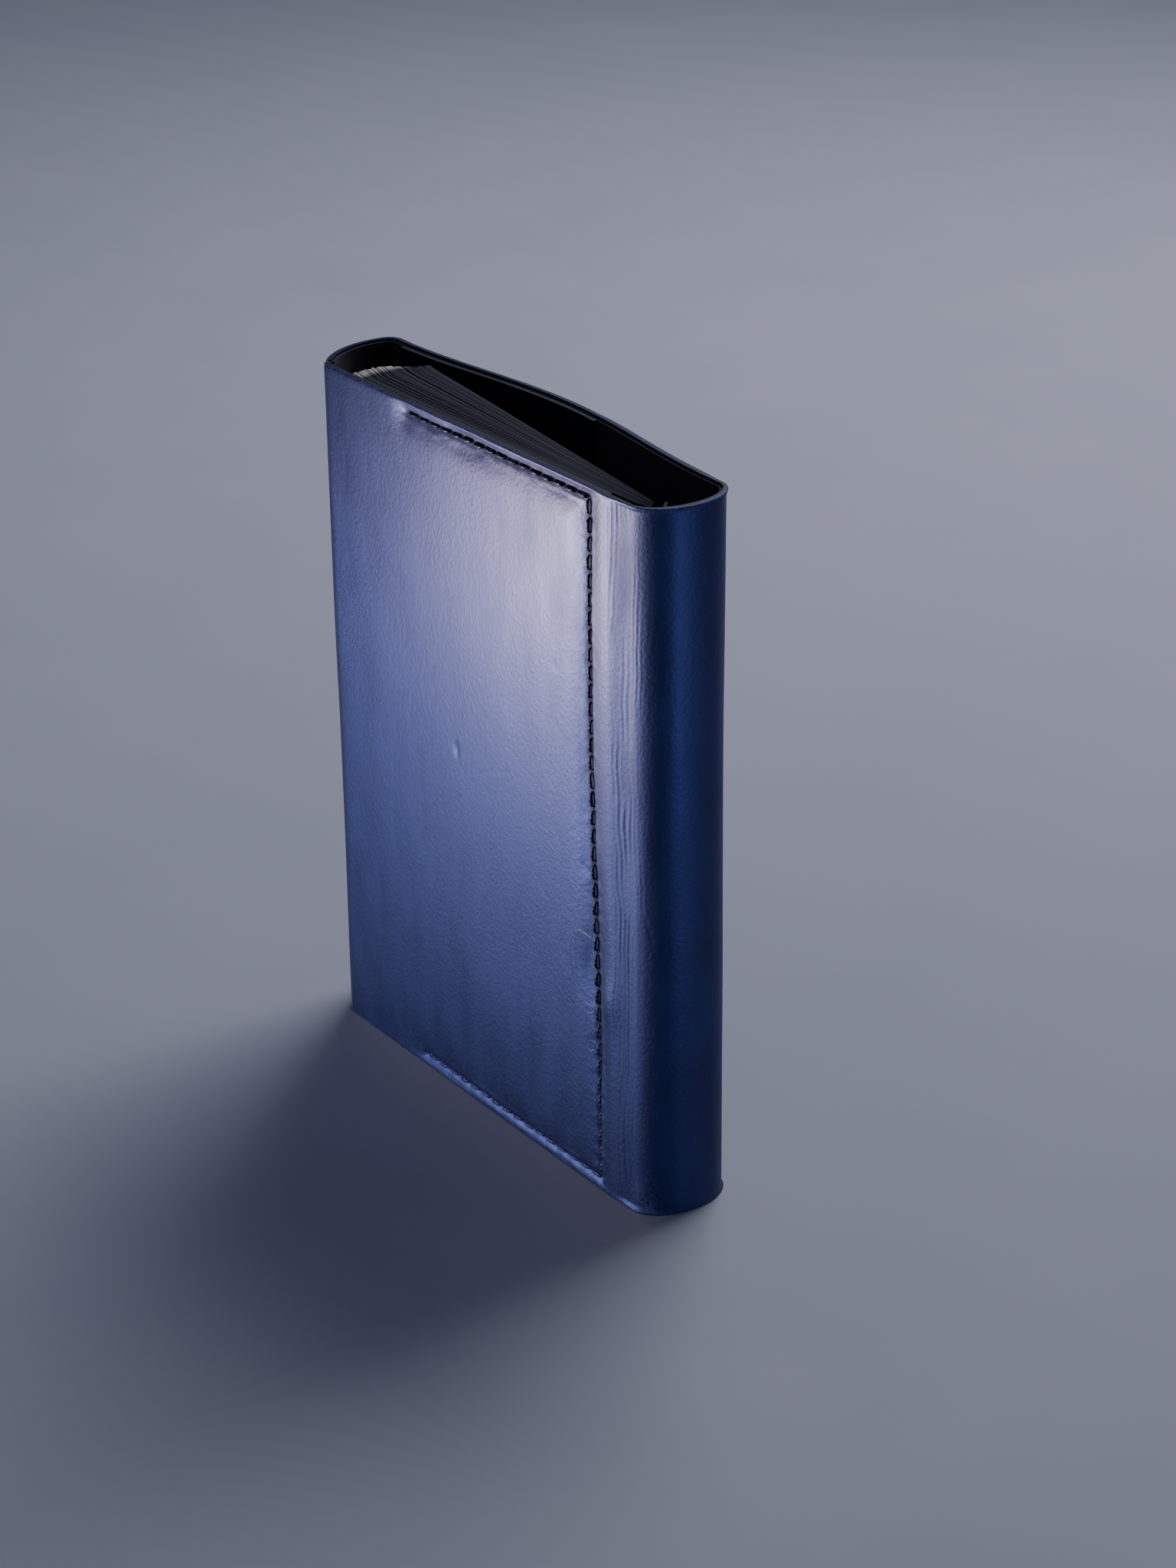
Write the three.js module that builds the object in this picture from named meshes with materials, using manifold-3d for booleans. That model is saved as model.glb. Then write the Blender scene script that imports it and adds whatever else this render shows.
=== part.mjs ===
// A book-style long wallet that stands on its bottom edge: one wrapped leather cover with a fat
// rounded spine, a lining, two sewn pockets and a bound insert of leaves that fans from the spine.
// Millimetres, +Z up, front cover on -Y, spine on +X, fore-edge on -X.
//
// Plan positions are written as (u, v): u runs from the front seam towards the fore-edge,
// v runs from the front cover's outer face towards the back.
import * as THREE from "three";
import { mergeVertices } from "three/addons/utils/BufferGeometryUtils.js";
import Module from "manifold-3d";

const wasm = await Module();
wasm.setup();

// Outer size and plan outline
const HEIGHT = 140;
const SPINE_WIDTH = 21; // outer thickness of the wallet at the spine
const SPINE_DEPTH = 6.6; // how far the spine bulges past the covers
const BEND_U = -10; // where both covers start to bend into the spine
const BACK_BULGE = 4.4; // how far the back cover bows outwards at its middle
const NOSE = { u: 79, v: 15.05, r: 17.8 }; // circle that the closing flap follows
const CORNER_R = 3.4; // bend from the back cover into the flap
const CORNER_V = SPINE_WIDTH - CORNER_R;
const CORNER_ANGLE = Math.asin((CORNER_V - NOSE.v) / (NOSE.r - CORNER_R));
const CORNER_U = NOSE.u + (NOSE.r - CORNER_R) * Math.cos(CORNER_ANGLE);
const FRONT_TIP_U = 90.3;
const TIP_CURL_U = 86.55; // the front cover curls inwards from here to its tip, to meet the flap
const TIP_CURL_R = 6.05;
const EDGE_CORNER_R = 1.5; // rounding of the front cover's two free corners

// Where the rigid lengths of leather stop at each fold, as angles round the spine and the corner
const COVER_END = THREE.MathUtils.degToRad(18);
const SPINE_END = THREE.MathUtils.degToRad(38);
const BACK_END = THREE.MathUtils.degToRad(72);
const FLAP_START = THREE.MathUtils.degToRad(36);
const FLAP_TIP = THREE.MathUtils.degToRad(-49.2);

// Layers, as depths below the outer face
const COVER = [0, 1.2];
const LINING = [1.4, 1.8];
const POCKET = [2.0, 2.6];
const LINING_INSET = 0.5; // lining and pockets stop this far inside the cover's edges
const FULL = [0, HEIGHT];
const INNER = [LINING_INSET, HEIGHT - LINING_INSET];

// Seams: one thread along a U on each side, lying in a pressed groove
const SEAM_MARGIN = 2.2;
const FRONT_POCKET = { start: -SEAM_MARGIN, end: 62, seam: [60, 0] }; // seam: open end, closed end
const BACK_POCKET = { start: 31, end: 90.2, seam: [33, 88] };
const GROOVE = { width: 1.1, depth: [-1, 0.45] }; // cut from above the surface down
const THREAD = { width: 0.6, depth: [0.05, 0.35] };

// The insert: wedge-shaped bundles of leaves that fan from a slanted binding
const LEAVES = 9;
const LEAF_Z = [1.2, 138.8];
const BINDING = { u: -11.8, v: 4.6, pitch: 0.3 }; // first leaf's axis, and the step to the next
const LEAF_START = 1.3; // radius at which a leaf leaves the binding
const LEAF_REACH = [95.8, 89.8]; // length of the first and the last leaf
const LEAF_ANGLES = [-1, 6.6]; // degrees of the first and the last leaf to the front cover
const LEAF_ROOT = 0.2; // thickness at the binding
const LEAF_GAP = 0.3; // clear space between two leaves at the fore-edge

// The tape behind the leaves' axes, which turns onto the spine's lining, and the thread behind it
const TAPE = { thickness: 0.5, behind: 1, below: 0.4, above: 0.6 };
const TAPE_WALL = [
  { u: -14.3, v: 8.2 },
  { u: -14.35, v: 12.4 },
];
const ROD = { r: 0.3, behind: 1.75, margin: 10, sides: 12 };

const ORIGIN_U = (NOSE.u + NOSE.r + BEND_U - SPINE_DEPTH) / 2;
const ORIGIN_V = (SPINE_WIDTH + BACK_BULGE) / 2;
const ARC_STEPS = 14; // samples of a long curve
const BEND_STEPS = 4; // samples of a short one
const BACK_STEPS = 30;
const SPAN_STEP = 4; // distance between samples of the strip that a seam is kept in
const SPAN_MARGIN = { open: 8, closed: 4 }; // how far that strip runs past the seam, in half widths

const LOOKS = {
  coverLeather: { color: 0x2c3a6b, roughness: 0.42, metalness: 0 },
  liningLeather: { color: 0x2e2023, roughness: 0.75, metalness: 0 },
  pocketLeather: { color: 0x191d2e, roughness: 0.6, metalness: 0 },
  thread: { color: 0x10162c, roughness: 0.5, metalness: 0 },
  paper: { color: 0x8f8a86, roughness: 0.9, metalness: 0 },
  bindingTape: { color: 0x2b2a33, roughness: 0.8, metalness: 0 },
};

// --- plan geometry -------------------------------------------------------------------------

function at(u, v) {
  return new THREE.Vector2(ORIGIN_U - u, v - ORIGIN_V);
}

// A point round the spine's half ellipse: 0 is the front bend, PI is the back bend.
function spinePoint(t) {
  const half = SPINE_WIDTH / 2;
  return at(BEND_U - SPINE_DEPTH * Math.sin(t), half - half * Math.cos(t));
}

// A point on the front cover: flat, with a gentle inward curl at the fore-edge tip.
function frontPoint(u) {
  const past = Math.max(0, u - TIP_CURL_U);
  return at(u, TIP_CURL_R - Math.sqrt(TIP_CURL_R ** 2 - past ** 2));
}

// A point on the back cover: it bows outwards by a squared sine, level at both ends.
function backPoint(u) {
  const s = (u - BEND_U) / (CORNER_U - BEND_U);
  return at(u, SPINE_WIDTH + BACK_BULGE * Math.sin(Math.PI * s) ** 2);
}

function circlePoint(centre, r, angle) {
  return at(centre.u + r * Math.cos(angle), centre.v + r * Math.sin(angle));
}

// A point round the bend from the back cover into the flap.
function cornerPoint(angle) {
  return circlePoint({ u: CORNER_U, v: CORNER_V }, CORNER_R, angle);
}

// Samples a plan curve at count + 1 even parameters from a to b.
function sample(curve, a, b, count) {
  return Array.from({ length: count + 1 }, (_, i) => curve(a + ((b - a) * i) / count));
}

// All paths run the same way round, front tip to spine to back to flap, with the inside on the left.
function frontPath(from = FRONT_TIP_U, to = BEND_U, bend = COVER_END) {
  const flatStart = Math.min(from, TIP_CURL_U);
  const curl = from > TIP_CURL_U ? sample(frontPoint, from, TIP_CURL_U, BEND_STEPS).slice(0, -1) : [];
  const round = to <= BEND_U ? sample(spinePoint, 0, bend, BEND_STEPS).slice(1) : [];
  return [...curl, frontPoint(flatStart), frontPoint(to), ...round];
}

function spinePath() {
  return sample(spinePoint, SPINE_END, Math.PI - SPINE_END, 2 * ARC_STEPS);
}

function backPath() {
  const round = sample(spinePoint, Math.PI - COVER_END, Math.PI, BEND_STEPS);
  const bow = sample(backPoint, BEND_U, CORNER_U, BACK_STEPS).slice(1);
  return [...round, ...bow, ...sample(cornerPoint, Math.PI / 2, BACK_END, BEND_STEPS).slice(1)];
}

function flapPath(tip = FLAP_TIP) {
  const nose = (angle) => circlePoint(NOSE, NOSE.r, angle);
  const bend = sample(cornerPoint, FLAP_START, CORNER_ANGLE, BEND_STEPS);
  return [...bend, ...sample(nose, CORNER_ANGLE, tip, ARC_STEPS).slice(1)];
}

// The path moved sideways by a distance towards the wallet's inside.
function offset(path, distance) {
  return path.map((point, i) => {
    const before = path[Math.max(0, i - 1)];
    const after = path[Math.min(path.length - 1, i + 1)];
    const along = after.clone().sub(before).normalize();
    return new THREE.Vector2(point.x - along.y * distance, point.y + along.x * distance);
  });
}

// --- solids --------------------------------------------------------------------------------

// A plan outline made a block between two heights.
function upright(outline, [low, high]) {
  const settings = { depth: high - low, bevelEnabled: false };
  return new THREE.ExtrudeGeometry(new THREE.Shape(outline), settings).translate(0, 0, low);
}

// A sheet that follows a plan path, between two depths and two heights.
function sheet(path, [near, far], heights) {
  return upright([...offset(path, near), ...offset(path, far).reverse()], heights);
}

function toSolid(geometry) {
  const bare = geometry.index ? geometry.toNonIndexed() : geometry.clone();
  bare.deleteAttribute("normal");
  bare.deleteAttribute("uv");
  const merged = mergeVertices(bare, 1e-4);
  return new wasm.Manifold(
    new wasm.Mesh({
      numProp: 3,
      vertProperties: merged.attributes.position.array,
      triVerts: new Uint32Array(merged.index.array),
    }),
  );
}

function toGeometry(solid) {
  const { vertProperties, triVerts } = solid.getMesh();
  const geometry = new THREE.BufferGeometry();
  geometry.setAttribute("position", new THREE.BufferAttribute(new Float32Array(vertProperties), 3));
  geometry.setIndex(new THREE.BufferAttribute(new Uint32Array(triVerts), 1));
  geometry.computeVertexNormals();
  return geometry;
}

// A U-shaped band in a cover's surface, open at one end: the U is drawn flat, made a prism through the
// wallet, and kept only between the two depths of the surface.
function seamU(spanOf, [openU, closedU], width, depth) {
  const half = width / 2;
  const past = Math.sign(closedU - openU) * half;
  const [low, high] = [SEAM_MARGIN, HEIGHT - SEAM_MARGIN];
  const corners = [
    [openU, high + half],
    [closedU + past, high + half],
    [closedU + past, low - half],
    [openU, low - half],
    [openU, low + half],
    [closedU - past, low + half],
    [closedU - past, high - half],
    [openU, high - half],
  ];
  const outline = corners.map(([u, z]) => new THREE.Vector2(ORIGIN_U - u, z));
  const strip = spanOf(openU - SPAN_MARGIN.open * past, closedU + SPAN_MARGIN.closed * past);
  return alongY(new THREE.Shape(outline)).intersect(toSolid(sheet(strip, depth, FULL)));
}

// A side outline in (x, z) made a block that runs right through the wallet from front to back.
function alongY(shape) {
  const depth = 2 * SPINE_WIDTH;
  const block = new THREE.ExtrudeGeometry(shape, { depth, bevelEnabled: false, curveSegments: 6 });
  return toSolid(block.rotateX(Math.PI / 2).translate(0, depth / 2, 0));
}

// Straight or bowed lengths of cover between two places, in the direction the paths run.
function frontSpan(a, b) {
  return sample(frontPoint, Math.max(a, b), Math.min(a, b), 1);
}

function backSpan(a, b) {
  const count = Math.max(1, Math.round(Math.abs(b - a) / SPAN_STEP));
  return sample(backPoint, Math.min(a, b), Math.max(a, b), count);
}

// Everything that lies between the two heights with the fore-edge corners rounded off.
function cornerTrim() {
  const left = ORIGIN_U - FRONT_TIP_U;
  const right = ORIGIN_U - BEND_U + SPINE_DEPTH;
  const r = EDGE_CORNER_R;
  const side = new THREE.Shape();
  side.moveTo(right, 0);
  side.lineTo(right, HEIGHT);
  side.lineTo(left + r, HEIGHT);
  side.absarc(left + r, HEIGHT - r, r, Math.PI / 2, Math.PI, false);
  side.lineTo(left, r);
  side.absarc(left + r, r, r, Math.PI, 1.5 * Math.PI, false);
  return alongY(side);
}

// --- pieces --------------------------------------------------------------------------------

function frontCover() {
  const blank = toSolid(sheet(frontPath(), COVER, FULL)).intersect(cornerTrim());
  return toGeometry(blank.subtract(seamU(frontSpan, FRONT_POCKET.seam, GROOVE.width, GROOVE.depth)));
}

function backCover() {
  const blank = toSolid(sheet(backPath(), COVER, FULL));
  return toGeometry(blank.subtract(seamU(backSpan, BACK_POCKET.seam, GROOVE.width, GROOVE.depth)));
}

function frontThread() {
  return toGeometry(seamU(frontSpan, FRONT_POCKET.seam, THREAD.width, THREAD.depth));
}

function backThread() {
  return toGeometry(seamU(backSpan, BACK_POCKET.seam, THREAD.width, THREAD.depth));
}

// The tape that holds the insert: it slants behind the leaves, then runs along the spine's lining.
function bindingTape() {
  const last = BINDING.pitch * (LEAVES - 1);
  const behind = (step) => at(BINDING.u + step - TAPE.behind, BINDING.v + step + TAPE.behind);
  const wall = TAPE_WALL.map(({ u, v }) => at(u, v));
  const half = TAPE.thickness / 2;
  return sheet([behind(last + TAPE.above), behind(-TAPE.below), ...wall], [-half, half], LEAF_Z);
}

function bindingThread() {
  const middle = (BINDING.pitch * (LEAVES - 1)) / 2;
  const place = at(BINDING.u + middle - ROD.behind, BINDING.v + middle + ROD.behind);
  const length = LEAF_Z[1] - LEAF_Z[0] - 2 * ROD.margin;
  const rod = new THREE.CylinderGeometry(ROD.r, ROD.r, length, ROD.sides);
  return rod.rotateX(Math.PI / 2).translate(place.x, place.y, HEIGHT / 2);
}

// One bundle of leaves: a thin wedge from the binding to the fore-edge.
function leaf(index) {
  const share = index / (LEAVES - 1);
  const angle = THREE.MathUtils.degToRad(THREE.MathUtils.lerp(...LEAF_ANGLES, share));
  const reach = THREE.MathUtils.lerp(...LEAF_REACH, share);
  const step = THREE.MathUtils.degToRad((LEAF_ANGLES[1] - LEAF_ANGLES[0]) / (LEAVES - 1));
  const tip = reach * step + BINDING.pitch - LEAF_GAP;
  const along = [Math.cos(angle), Math.sin(angle)];
  const corner = (r, side) =>
    at(
      BINDING.u + BINDING.pitch * index + r * along[0] - side * along[1],
      BINDING.v + BINDING.pitch * index + r * along[1] + side * along[0],
    );
  const outline = [
    corner(LEAF_START, -LEAF_ROOT / 2),
    corner(reach, -tip / 2),
    corner(reach, tip / 2),
    corner(LEAF_START, LEAF_ROOT / 2),
  ];
  return upright(outline, LEAF_Z);
}

function piece(name, geometry, look) {
  const mesh = new THREE.Mesh(geometry, new THREE.MeshStandardMaterial(look));
  mesh.name = name;
  return mesh;
}

// --- assembly ------------------------------------------------------------------------------

const wallet = new THREE.Group();

const spine = new THREE.Group();
spine.add(
  piece("spine_cover", sheet(spinePath(), COVER, FULL), LOOKS.coverLeather),
  piece("spine_lining", sheet(spinePath(), LINING, INNER), LOOKS.liningLeather),
  piece("insert_binding", bindingTape(), LOOKS.bindingTape),
  piece("binding_thread", bindingThread(), LOOKS.thread),
);

const front = new THREE.Group();
const frontLiningPath = frontPath(FRONT_TIP_U - LINING_INSET);
const frontPocketPath = frontPath(FRONT_POCKET.end, FRONT_POCKET.start);
front.add(
  piece("front_cover", frontCover(), LOOKS.coverLeather),
  piece("front_lining", sheet(frontLiningPath, LINING, INNER), LOOKS.liningLeather),
  piece("front_pocket", sheet(frontPocketPath, POCKET, INNER), LOOKS.pocketLeather),
  piece("front_seam_thread", frontThread(), LOOKS.thread),
);

const back = new THREE.Group();
const backPocketPath = backSpan(BACK_POCKET.start, BACK_POCKET.end);
back.add(
  piece("back_cover", backCover(), LOOKS.coverLeather),
  piece("back_lining", sheet(backPath(), LINING, INNER), LOOKS.liningLeather),
  piece("back_pocket", sheet(backPocketPath, POCKET, INNER), LOOKS.pocketLeather),
  piece("back_seam_thread", backThread(), LOOKS.thread),
);

const flap = new THREE.Group();
const flapLiningTip = FLAP_TIP + LINING_INSET / NOSE.r;
flap.add(
  piece("closing_flap", sheet(flapPath(), COVER, FULL), LOOKS.coverLeather),
  piece("flap_lining", sheet(flapPath(flapLiningTip), LINING, INNER), LOOKS.liningLeather),
);

const insert = new THREE.Group();
for (let i = 0; i < LEAVES; i += 1) {
  insert.add(piece(`leaf_${i + 1}`, leaf(i), LOOKS.paper));
}

wallet.add(spine, front, back, flap, insert);

export default wallet;
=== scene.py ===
"""Looks of a book-style long wallet: one wrapped navy leather cover with a fat rounded spine, a maroon
lining, two sewn pockets, glossy lockstitch seams and a bound insert of paper that fans from the spine.

Lengths are in millimetres until a mesh is made. The cover is described by two surface coordinates:
s runs along the leather from the front cover's tip, round the spine, to the closing flap's tip, and
z runs up. Depth is measured inwards from the outer face.
"""

import logging
import math
from dataclasses import dataclass, field
from enum import Enum

import bpy
import numpy as np
from mathutils import Matrix, Vector


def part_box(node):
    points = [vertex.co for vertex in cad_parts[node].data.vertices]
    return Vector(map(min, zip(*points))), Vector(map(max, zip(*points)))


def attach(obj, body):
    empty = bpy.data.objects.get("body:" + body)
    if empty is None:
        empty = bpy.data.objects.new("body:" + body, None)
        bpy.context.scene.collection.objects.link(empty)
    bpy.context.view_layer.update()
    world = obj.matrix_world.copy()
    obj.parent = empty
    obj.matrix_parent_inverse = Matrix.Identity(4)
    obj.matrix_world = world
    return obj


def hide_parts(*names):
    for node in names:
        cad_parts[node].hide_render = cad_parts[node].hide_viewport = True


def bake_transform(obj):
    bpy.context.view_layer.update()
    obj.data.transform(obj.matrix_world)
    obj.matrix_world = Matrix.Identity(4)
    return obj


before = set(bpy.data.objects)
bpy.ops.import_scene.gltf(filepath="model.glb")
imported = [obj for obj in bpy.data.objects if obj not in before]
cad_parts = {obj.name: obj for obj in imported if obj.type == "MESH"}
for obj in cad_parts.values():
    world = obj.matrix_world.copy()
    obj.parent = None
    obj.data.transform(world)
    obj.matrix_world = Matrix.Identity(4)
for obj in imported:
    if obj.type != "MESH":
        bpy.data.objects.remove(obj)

log = logging.getLogger("wallet")

MM = 0.001
SIDES = 8  # of every round thread
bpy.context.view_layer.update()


# --- colour and node helpers -----------------------------------------------------------------


def linear(hex_colour: str) -> tuple[float, ...]:
    """Turns an sRGB hex colour into linear RGBA.

    Args:
        hex_colour: six hex digits, such as "2b3a6e".

    Returns:
        The linear red, green and blue, with an alpha of 1.
    """
    srgb = np.array([int(hex_colour[i : i + 2], 16) / 255 for i in (0, 2, 4)])
    curve = np.where(srgb <= 0.04045, srgb / 12.92, ((srgb + 0.055) / 1.055) ** 2.4)
    return (*curve.tolist(), 1.0)


def add_node(tree: bpy.types.NodeTree, kind: str, settings: dict = {}, inputs: dict = {}) -> bpy.types.Node:
    """Adds a shader node, sets it and links it.

    Args:
        tree: the node tree that takes the node.
        kind: the node's type, without its ShaderNode prefix.
        settings: attributes to set on the node.
        inputs: a value or an output socket for each input, by the input's name or number.

    Returns:
        The new node.
    """
    node = tree.nodes.new(f"ShaderNode{kind}")
    for name, value in settings.items():
        setattr(node, name, value)
    for key, value in inputs.items():
        if isinstance(value, bpy.types.NodeSocket):
            tree.links.new(value, node.inputs[key])
        else:
            node.inputs[key].default_value = value
    return node


COLOUR_MIX = {"data_type": "RGBA"}  # inputs 0, 6 and 7 are the share and the two colours, output 2 the mix
SMOOTH_STEP = {"interpolation_type": "SMOOTHSTEP"}
MULTIPLY_ADD = {"operation": "MULTIPLY_ADD"}
Colour = str | bpy.types.NodeSocket


def per_mm(size_mm: float) -> float:
    """Texture scale whose features are about size_mm across on coordinates in metres."""
    return 1 / (size_mm * MM)


def bands(size_mm: float) -> float:
    """Scale of a wave texture whose bands are size_mm apart: at a scale of 1 they are pi / 10 apart."""
    return per_mm(size_mm) * math.pi / 10


def pattern(place: bpy.types.NodeSocket, size_mm: float, detail: float = 2.0, roughness: float = 0.5) -> dict:
    """Inputs of a noise texture.

    Args:
        place: the coordinates that the noise follows.
        size_mm: rough size of its largest features.
        detail: how many finer layers it has.
        roughness: how strong the finer layers are.

    Returns:
        The inputs by name.
    """
    return {"Vector": place, "Scale": per_mm(size_mm), "Detail": detail, "Roughness": roughness}


def between(share: bpy.types.NodeSocket, low: Colour, high: Colour) -> dict:
    """Inputs of a colour mix.

    Args:
        share: 0 for the low colour to 1 for the high one.
        low: six hex digits or an output socket.
        high: the same for the other colour.

    Returns:
        The inputs by number.
    """
    low, high = (linear(colour) if isinstance(colour, str) else colour for colour in (low, high))
    return {0: share, 6: low, 7: high}


# --- finishes --------------------------------------------------------------------------------


@dataclass(frozen=True)
class Finish:
    """What all finishes share: a name and one shader, whose looks each finish works out."""

    name: str = "finish"

    def looks(self, tree: bpy.types.NodeTree) -> dict:
        """Works out the looks.

        Args:
            tree: the material's tree, which takes the nodes.

        Returns:
            A value or an output socket for each input of the shader.
        """
        raise NotImplementedError

    def material(self) -> bpy.types.Material:
        """Makes the material: an empty tree, the nodes of the looks, the shader and the output.

        Returns:
            The finished material.
        """
        material = bpy.data.materials.new(self.name)
        material.use_nodes = True
        tree = material.node_tree
        tree.nodes.clear()
        shader = add_node(tree, "BsdfPrincipled", {}, self.looks(tree))
        add_node(tree, "OutputMaterial", {}, {"Surface": shader.outputs[0]})
        return material


@dataclass(frozen=True)
class SmoothLeather(Finish):
    """Aniline-dyed, waxed calf leather: smooth and semi-glossy, with a fine grain, a cloudy depth of
    colour where the dye took unevenly, thin veins and a paler burnish where it is handled. Painted
    shade darkens it to near black in the seams' grooves, and, with a matt look where flexing has
    broken the wax, along the hinges. The attribute wear is above 0 where it is worn and below 0
    where shade is painted."""

    name: str = "aniline_calf_leather"
    deep: str = "222b58"
    middle: str = "2c386e"
    worn: str = "7f8cc2"
    # colour of the painted shade in the seams' grooves and along the hinges
    painted_shade: str = "05070f"
    gleam: str = "8d9bf0"  # the wax lets the blue dye through, so its shine is blue
    roughness: float = 0.5
    coarse_grain_mm: float = 0.7  # real pores are about 0.2 mm; drawn coarser so that they show
    fine_grain_mm: float = 0.36
    cloud_mm: float = 16.0
    streak_mm: float = 6.0
    vein_mm: float = 9.0
    vein_patch_mm: float = 15.3
    rub_mm: float = 1.1  # size of the specks that a rubbed place is broken into
    fold_mm: float = 2.6  # size of the slow unevenness under the grain
    grain_depth_mm: float = 0.07
    fold_depth_mm: float = 0.06

    def looks(self, tree: bpy.types.NodeTree) -> dict:
        """Works out the leather.

        The colour mixes a deep and a middle dye by two noises, slow clouds and upright streaks. Veins
        are the places where a distorted noise passes its middle value. The height adds pores, fibres
        and the veins, over slow folds. Where the wear is above 0 it pales the colour; below 0 it is
        painted shade, which darkens the colour. Both roughen the wax.

        Args:
            tree: the material's tree, which takes the nodes.

        Returns:
            The shader's inputs.
        """
        skin = add_node(tree, "UVMap", {"uv_map": "surface"}).outputs[0]
        grown = add_node(tree, "Mapping", {}, {"Vector": skin, "Scale": (1, 0.3, 1)}).outputs[0]
        clouds = add_node(tree, "TexNoise", {}, pattern(skin, self.cloud_mm, 4.0, 0.55)).outputs["Fac"]
        streaks = add_node(tree, "TexNoise", {}, pattern(grown, self.streak_mm, 5.0, 0.6)).outputs["Fac"]
        both = add_node(tree, "Math", {"operation": "ADD"}, {0: clouds, 1: streaks}).outputs[0]
        tone = add_node(tree, "MapRange", SMOOTH_STEP, {0: both, 1: 0.72, 2: 1.28}).outputs[0]
        dye = add_node(tree, "Mix", COLOUR_MIX, between(tone, self.deep, self.middle)).outputs[2]

        vein = pattern(skin, self.vein_mm, 3.0, 0.6) | {"Distortion": 1.2}
        drift = add_node(tree, "TexNoise", {}, vein).outputs["Fac"]
        ridge = add_node(tree, "Math", {"operation": "COMPARE"}, {0: drift, 1: 0.5, 2: 0.006}).outputs[0]
        sparse = add_node(tree, "TexNoise", {}, pattern(skin, self.vein_patch_mm)).outputs["Fac"]
        gate = add_node(tree, "MapRange", SMOOTH_STEP, {0: sparse, 1: 0.5, 2: 0.62}).outputs[0]
        veins = add_node(tree, "Math", {"operation": "MULTIPLY"}, {0: ridge, 1: gate}).outputs[0]

        wear_and_shade = add_node(tree, "Attribute", {"attribute_name": "wear_and_shade"}).outputs["Fac"]
        lighter_tone = add_node(tree, "MapRange", {}, {0: wear_and_shade}).outputs[0]
        # share of painted shade, where the wear is below 0: it darkens the colour towards the shade colour
        # and roughens the wax
        shade_and_dullness = add_node(tree, "MapRange", {}, {0: wear_and_shade, 1: 0.0, 2: -1.0}).outputs[0]
        specks = add_node(tree, "TexNoise", {}, pattern(skin, self.rub_mm, 4.0, 0.7)).outputs["Fac"]
        broken = add_node(tree, "MapRange", SMOOTH_STEP, {0: specks, 1: 0.36, 2: 0.66}).outputs[0]
        worn = add_node(tree, "Math", {"operation": "MULTIPLY"}, {0: lighter_tone, 1: broken}).outputs[0]
        paled = add_node(tree, "Mix", COLOUR_MIX, between(worn, dye, self.worn)).outputs[2]
        base = add_node(tree, "Mix", COLOUR_MIX, between(shade_and_dullness, paled, self.painted_shade)).outputs[2]

        pore = {"Vector": skin, "Scale": per_mm(self.coarse_grain_mm), "Smoothness": 0.6}
        pores = add_node(tree, "TexVoronoi", {"feature": "SMOOTH_F1"}, pore).outputs["Distance"]
        fibres = add_node(tree, "TexNoise", {}, pattern(skin, self.fine_grain_mm, 3.0, 0.65)).outputs["Fac"]
        grain = add_node(tree, "Math", MULTIPLY_ADD, {0: fibres, 1: 0.7, 2: pores}).outputs[0]
        height = add_node(tree, "Math", MULTIPLY_ADD, {0: veins, 1: -0.15, 2: grain}).outputs[0]
        fine = {"Strength": 0.6, "Distance": self.grain_depth_mm * MM, "Height": height}
        pitted = add_node(tree, "Bump", {}, fine).outputs["Normal"]
        folds = add_node(tree, "TexNoise", {}, pattern(grown, self.fold_mm, 3.0, 0.55)).outputs["Fac"]
        slow = {"Strength": 0.5, "Distance": self.fold_depth_mm * MM, "Height": folds, "Normal": pitted}
        normal = add_node(tree, "Bump", {}, slow).outputs["Normal"]

        polish = {0: streaks, 1: 0.3, 2: 0.7, 3: self.roughness - 0.05, 4: self.roughness + 0.06}
        gloss = add_node(tree, "MapRange", {}, polish).outputs[0]
        dry = add_node(tree, "Math", MULTIPLY_ADD, {0: worn, 1: 0.3, 2: gloss}).outputs[0]
        rough = add_node(tree, "Math", MULTIPLY_ADD, {0: shade_and_dullness, 1: 0.45, 2: dry}).outputs[0]
        shine = {"Roughness": rough, "IOR": 1.5, "Specular Tint": linear(self.gleam)}
        return {"Base Color": base, "Normal": normal} | shine


@dataclass(frozen=True)
class SealedEdge(Finish):
    """Cut leather edge, sanded and sealed with dark wax: near black, a little fibrous, with a faint
    blue where the dye has come through."""

    name: str = "sealed_leather_edge"
    dark: str = "070b1a"
    pale: str = "1b2650"
    rub_mm: float = 3.0
    fibre_mm: float = 0.5

    def looks(self, tree: bpy.types.NodeTree) -> dict:
        """Works out the edge: rubbed patches of the paler colour, and fibres that stand up a little.

        Args:
            tree: the material's tree, which takes the nodes.

        Returns:
            The shader's inputs.
        """
        skin = add_node(tree, "UVMap", {"uv_map": "surface"}).outputs[0]
        rubs = add_node(tree, "TexNoise", {}, pattern(skin, self.rub_mm, 4.0, 0.65)).outputs["Fac"]
        share = add_node(tree, "MapRange", SMOOTH_STEP, {0: rubs, 1: 0.4, 2: 0.75}).outputs[0]
        base = add_node(tree, "Mix", COLOUR_MIX, between(share, self.dark, self.pale)).outputs[2]
        fibres = add_node(tree, "TexNoise", {}, pattern(skin, self.fibre_mm, 4.0, 0.7)).outputs["Fac"]
        rise = {"Strength": 0.5, "Distance": 0.1 * MM, "Height": fibres}
        normal = add_node(tree, "Bump", {}, rise).outputs[0]
        return {"Base Color": base, "Roughness": 0.5, "Normal": normal, "IOR": 1.5}


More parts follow.
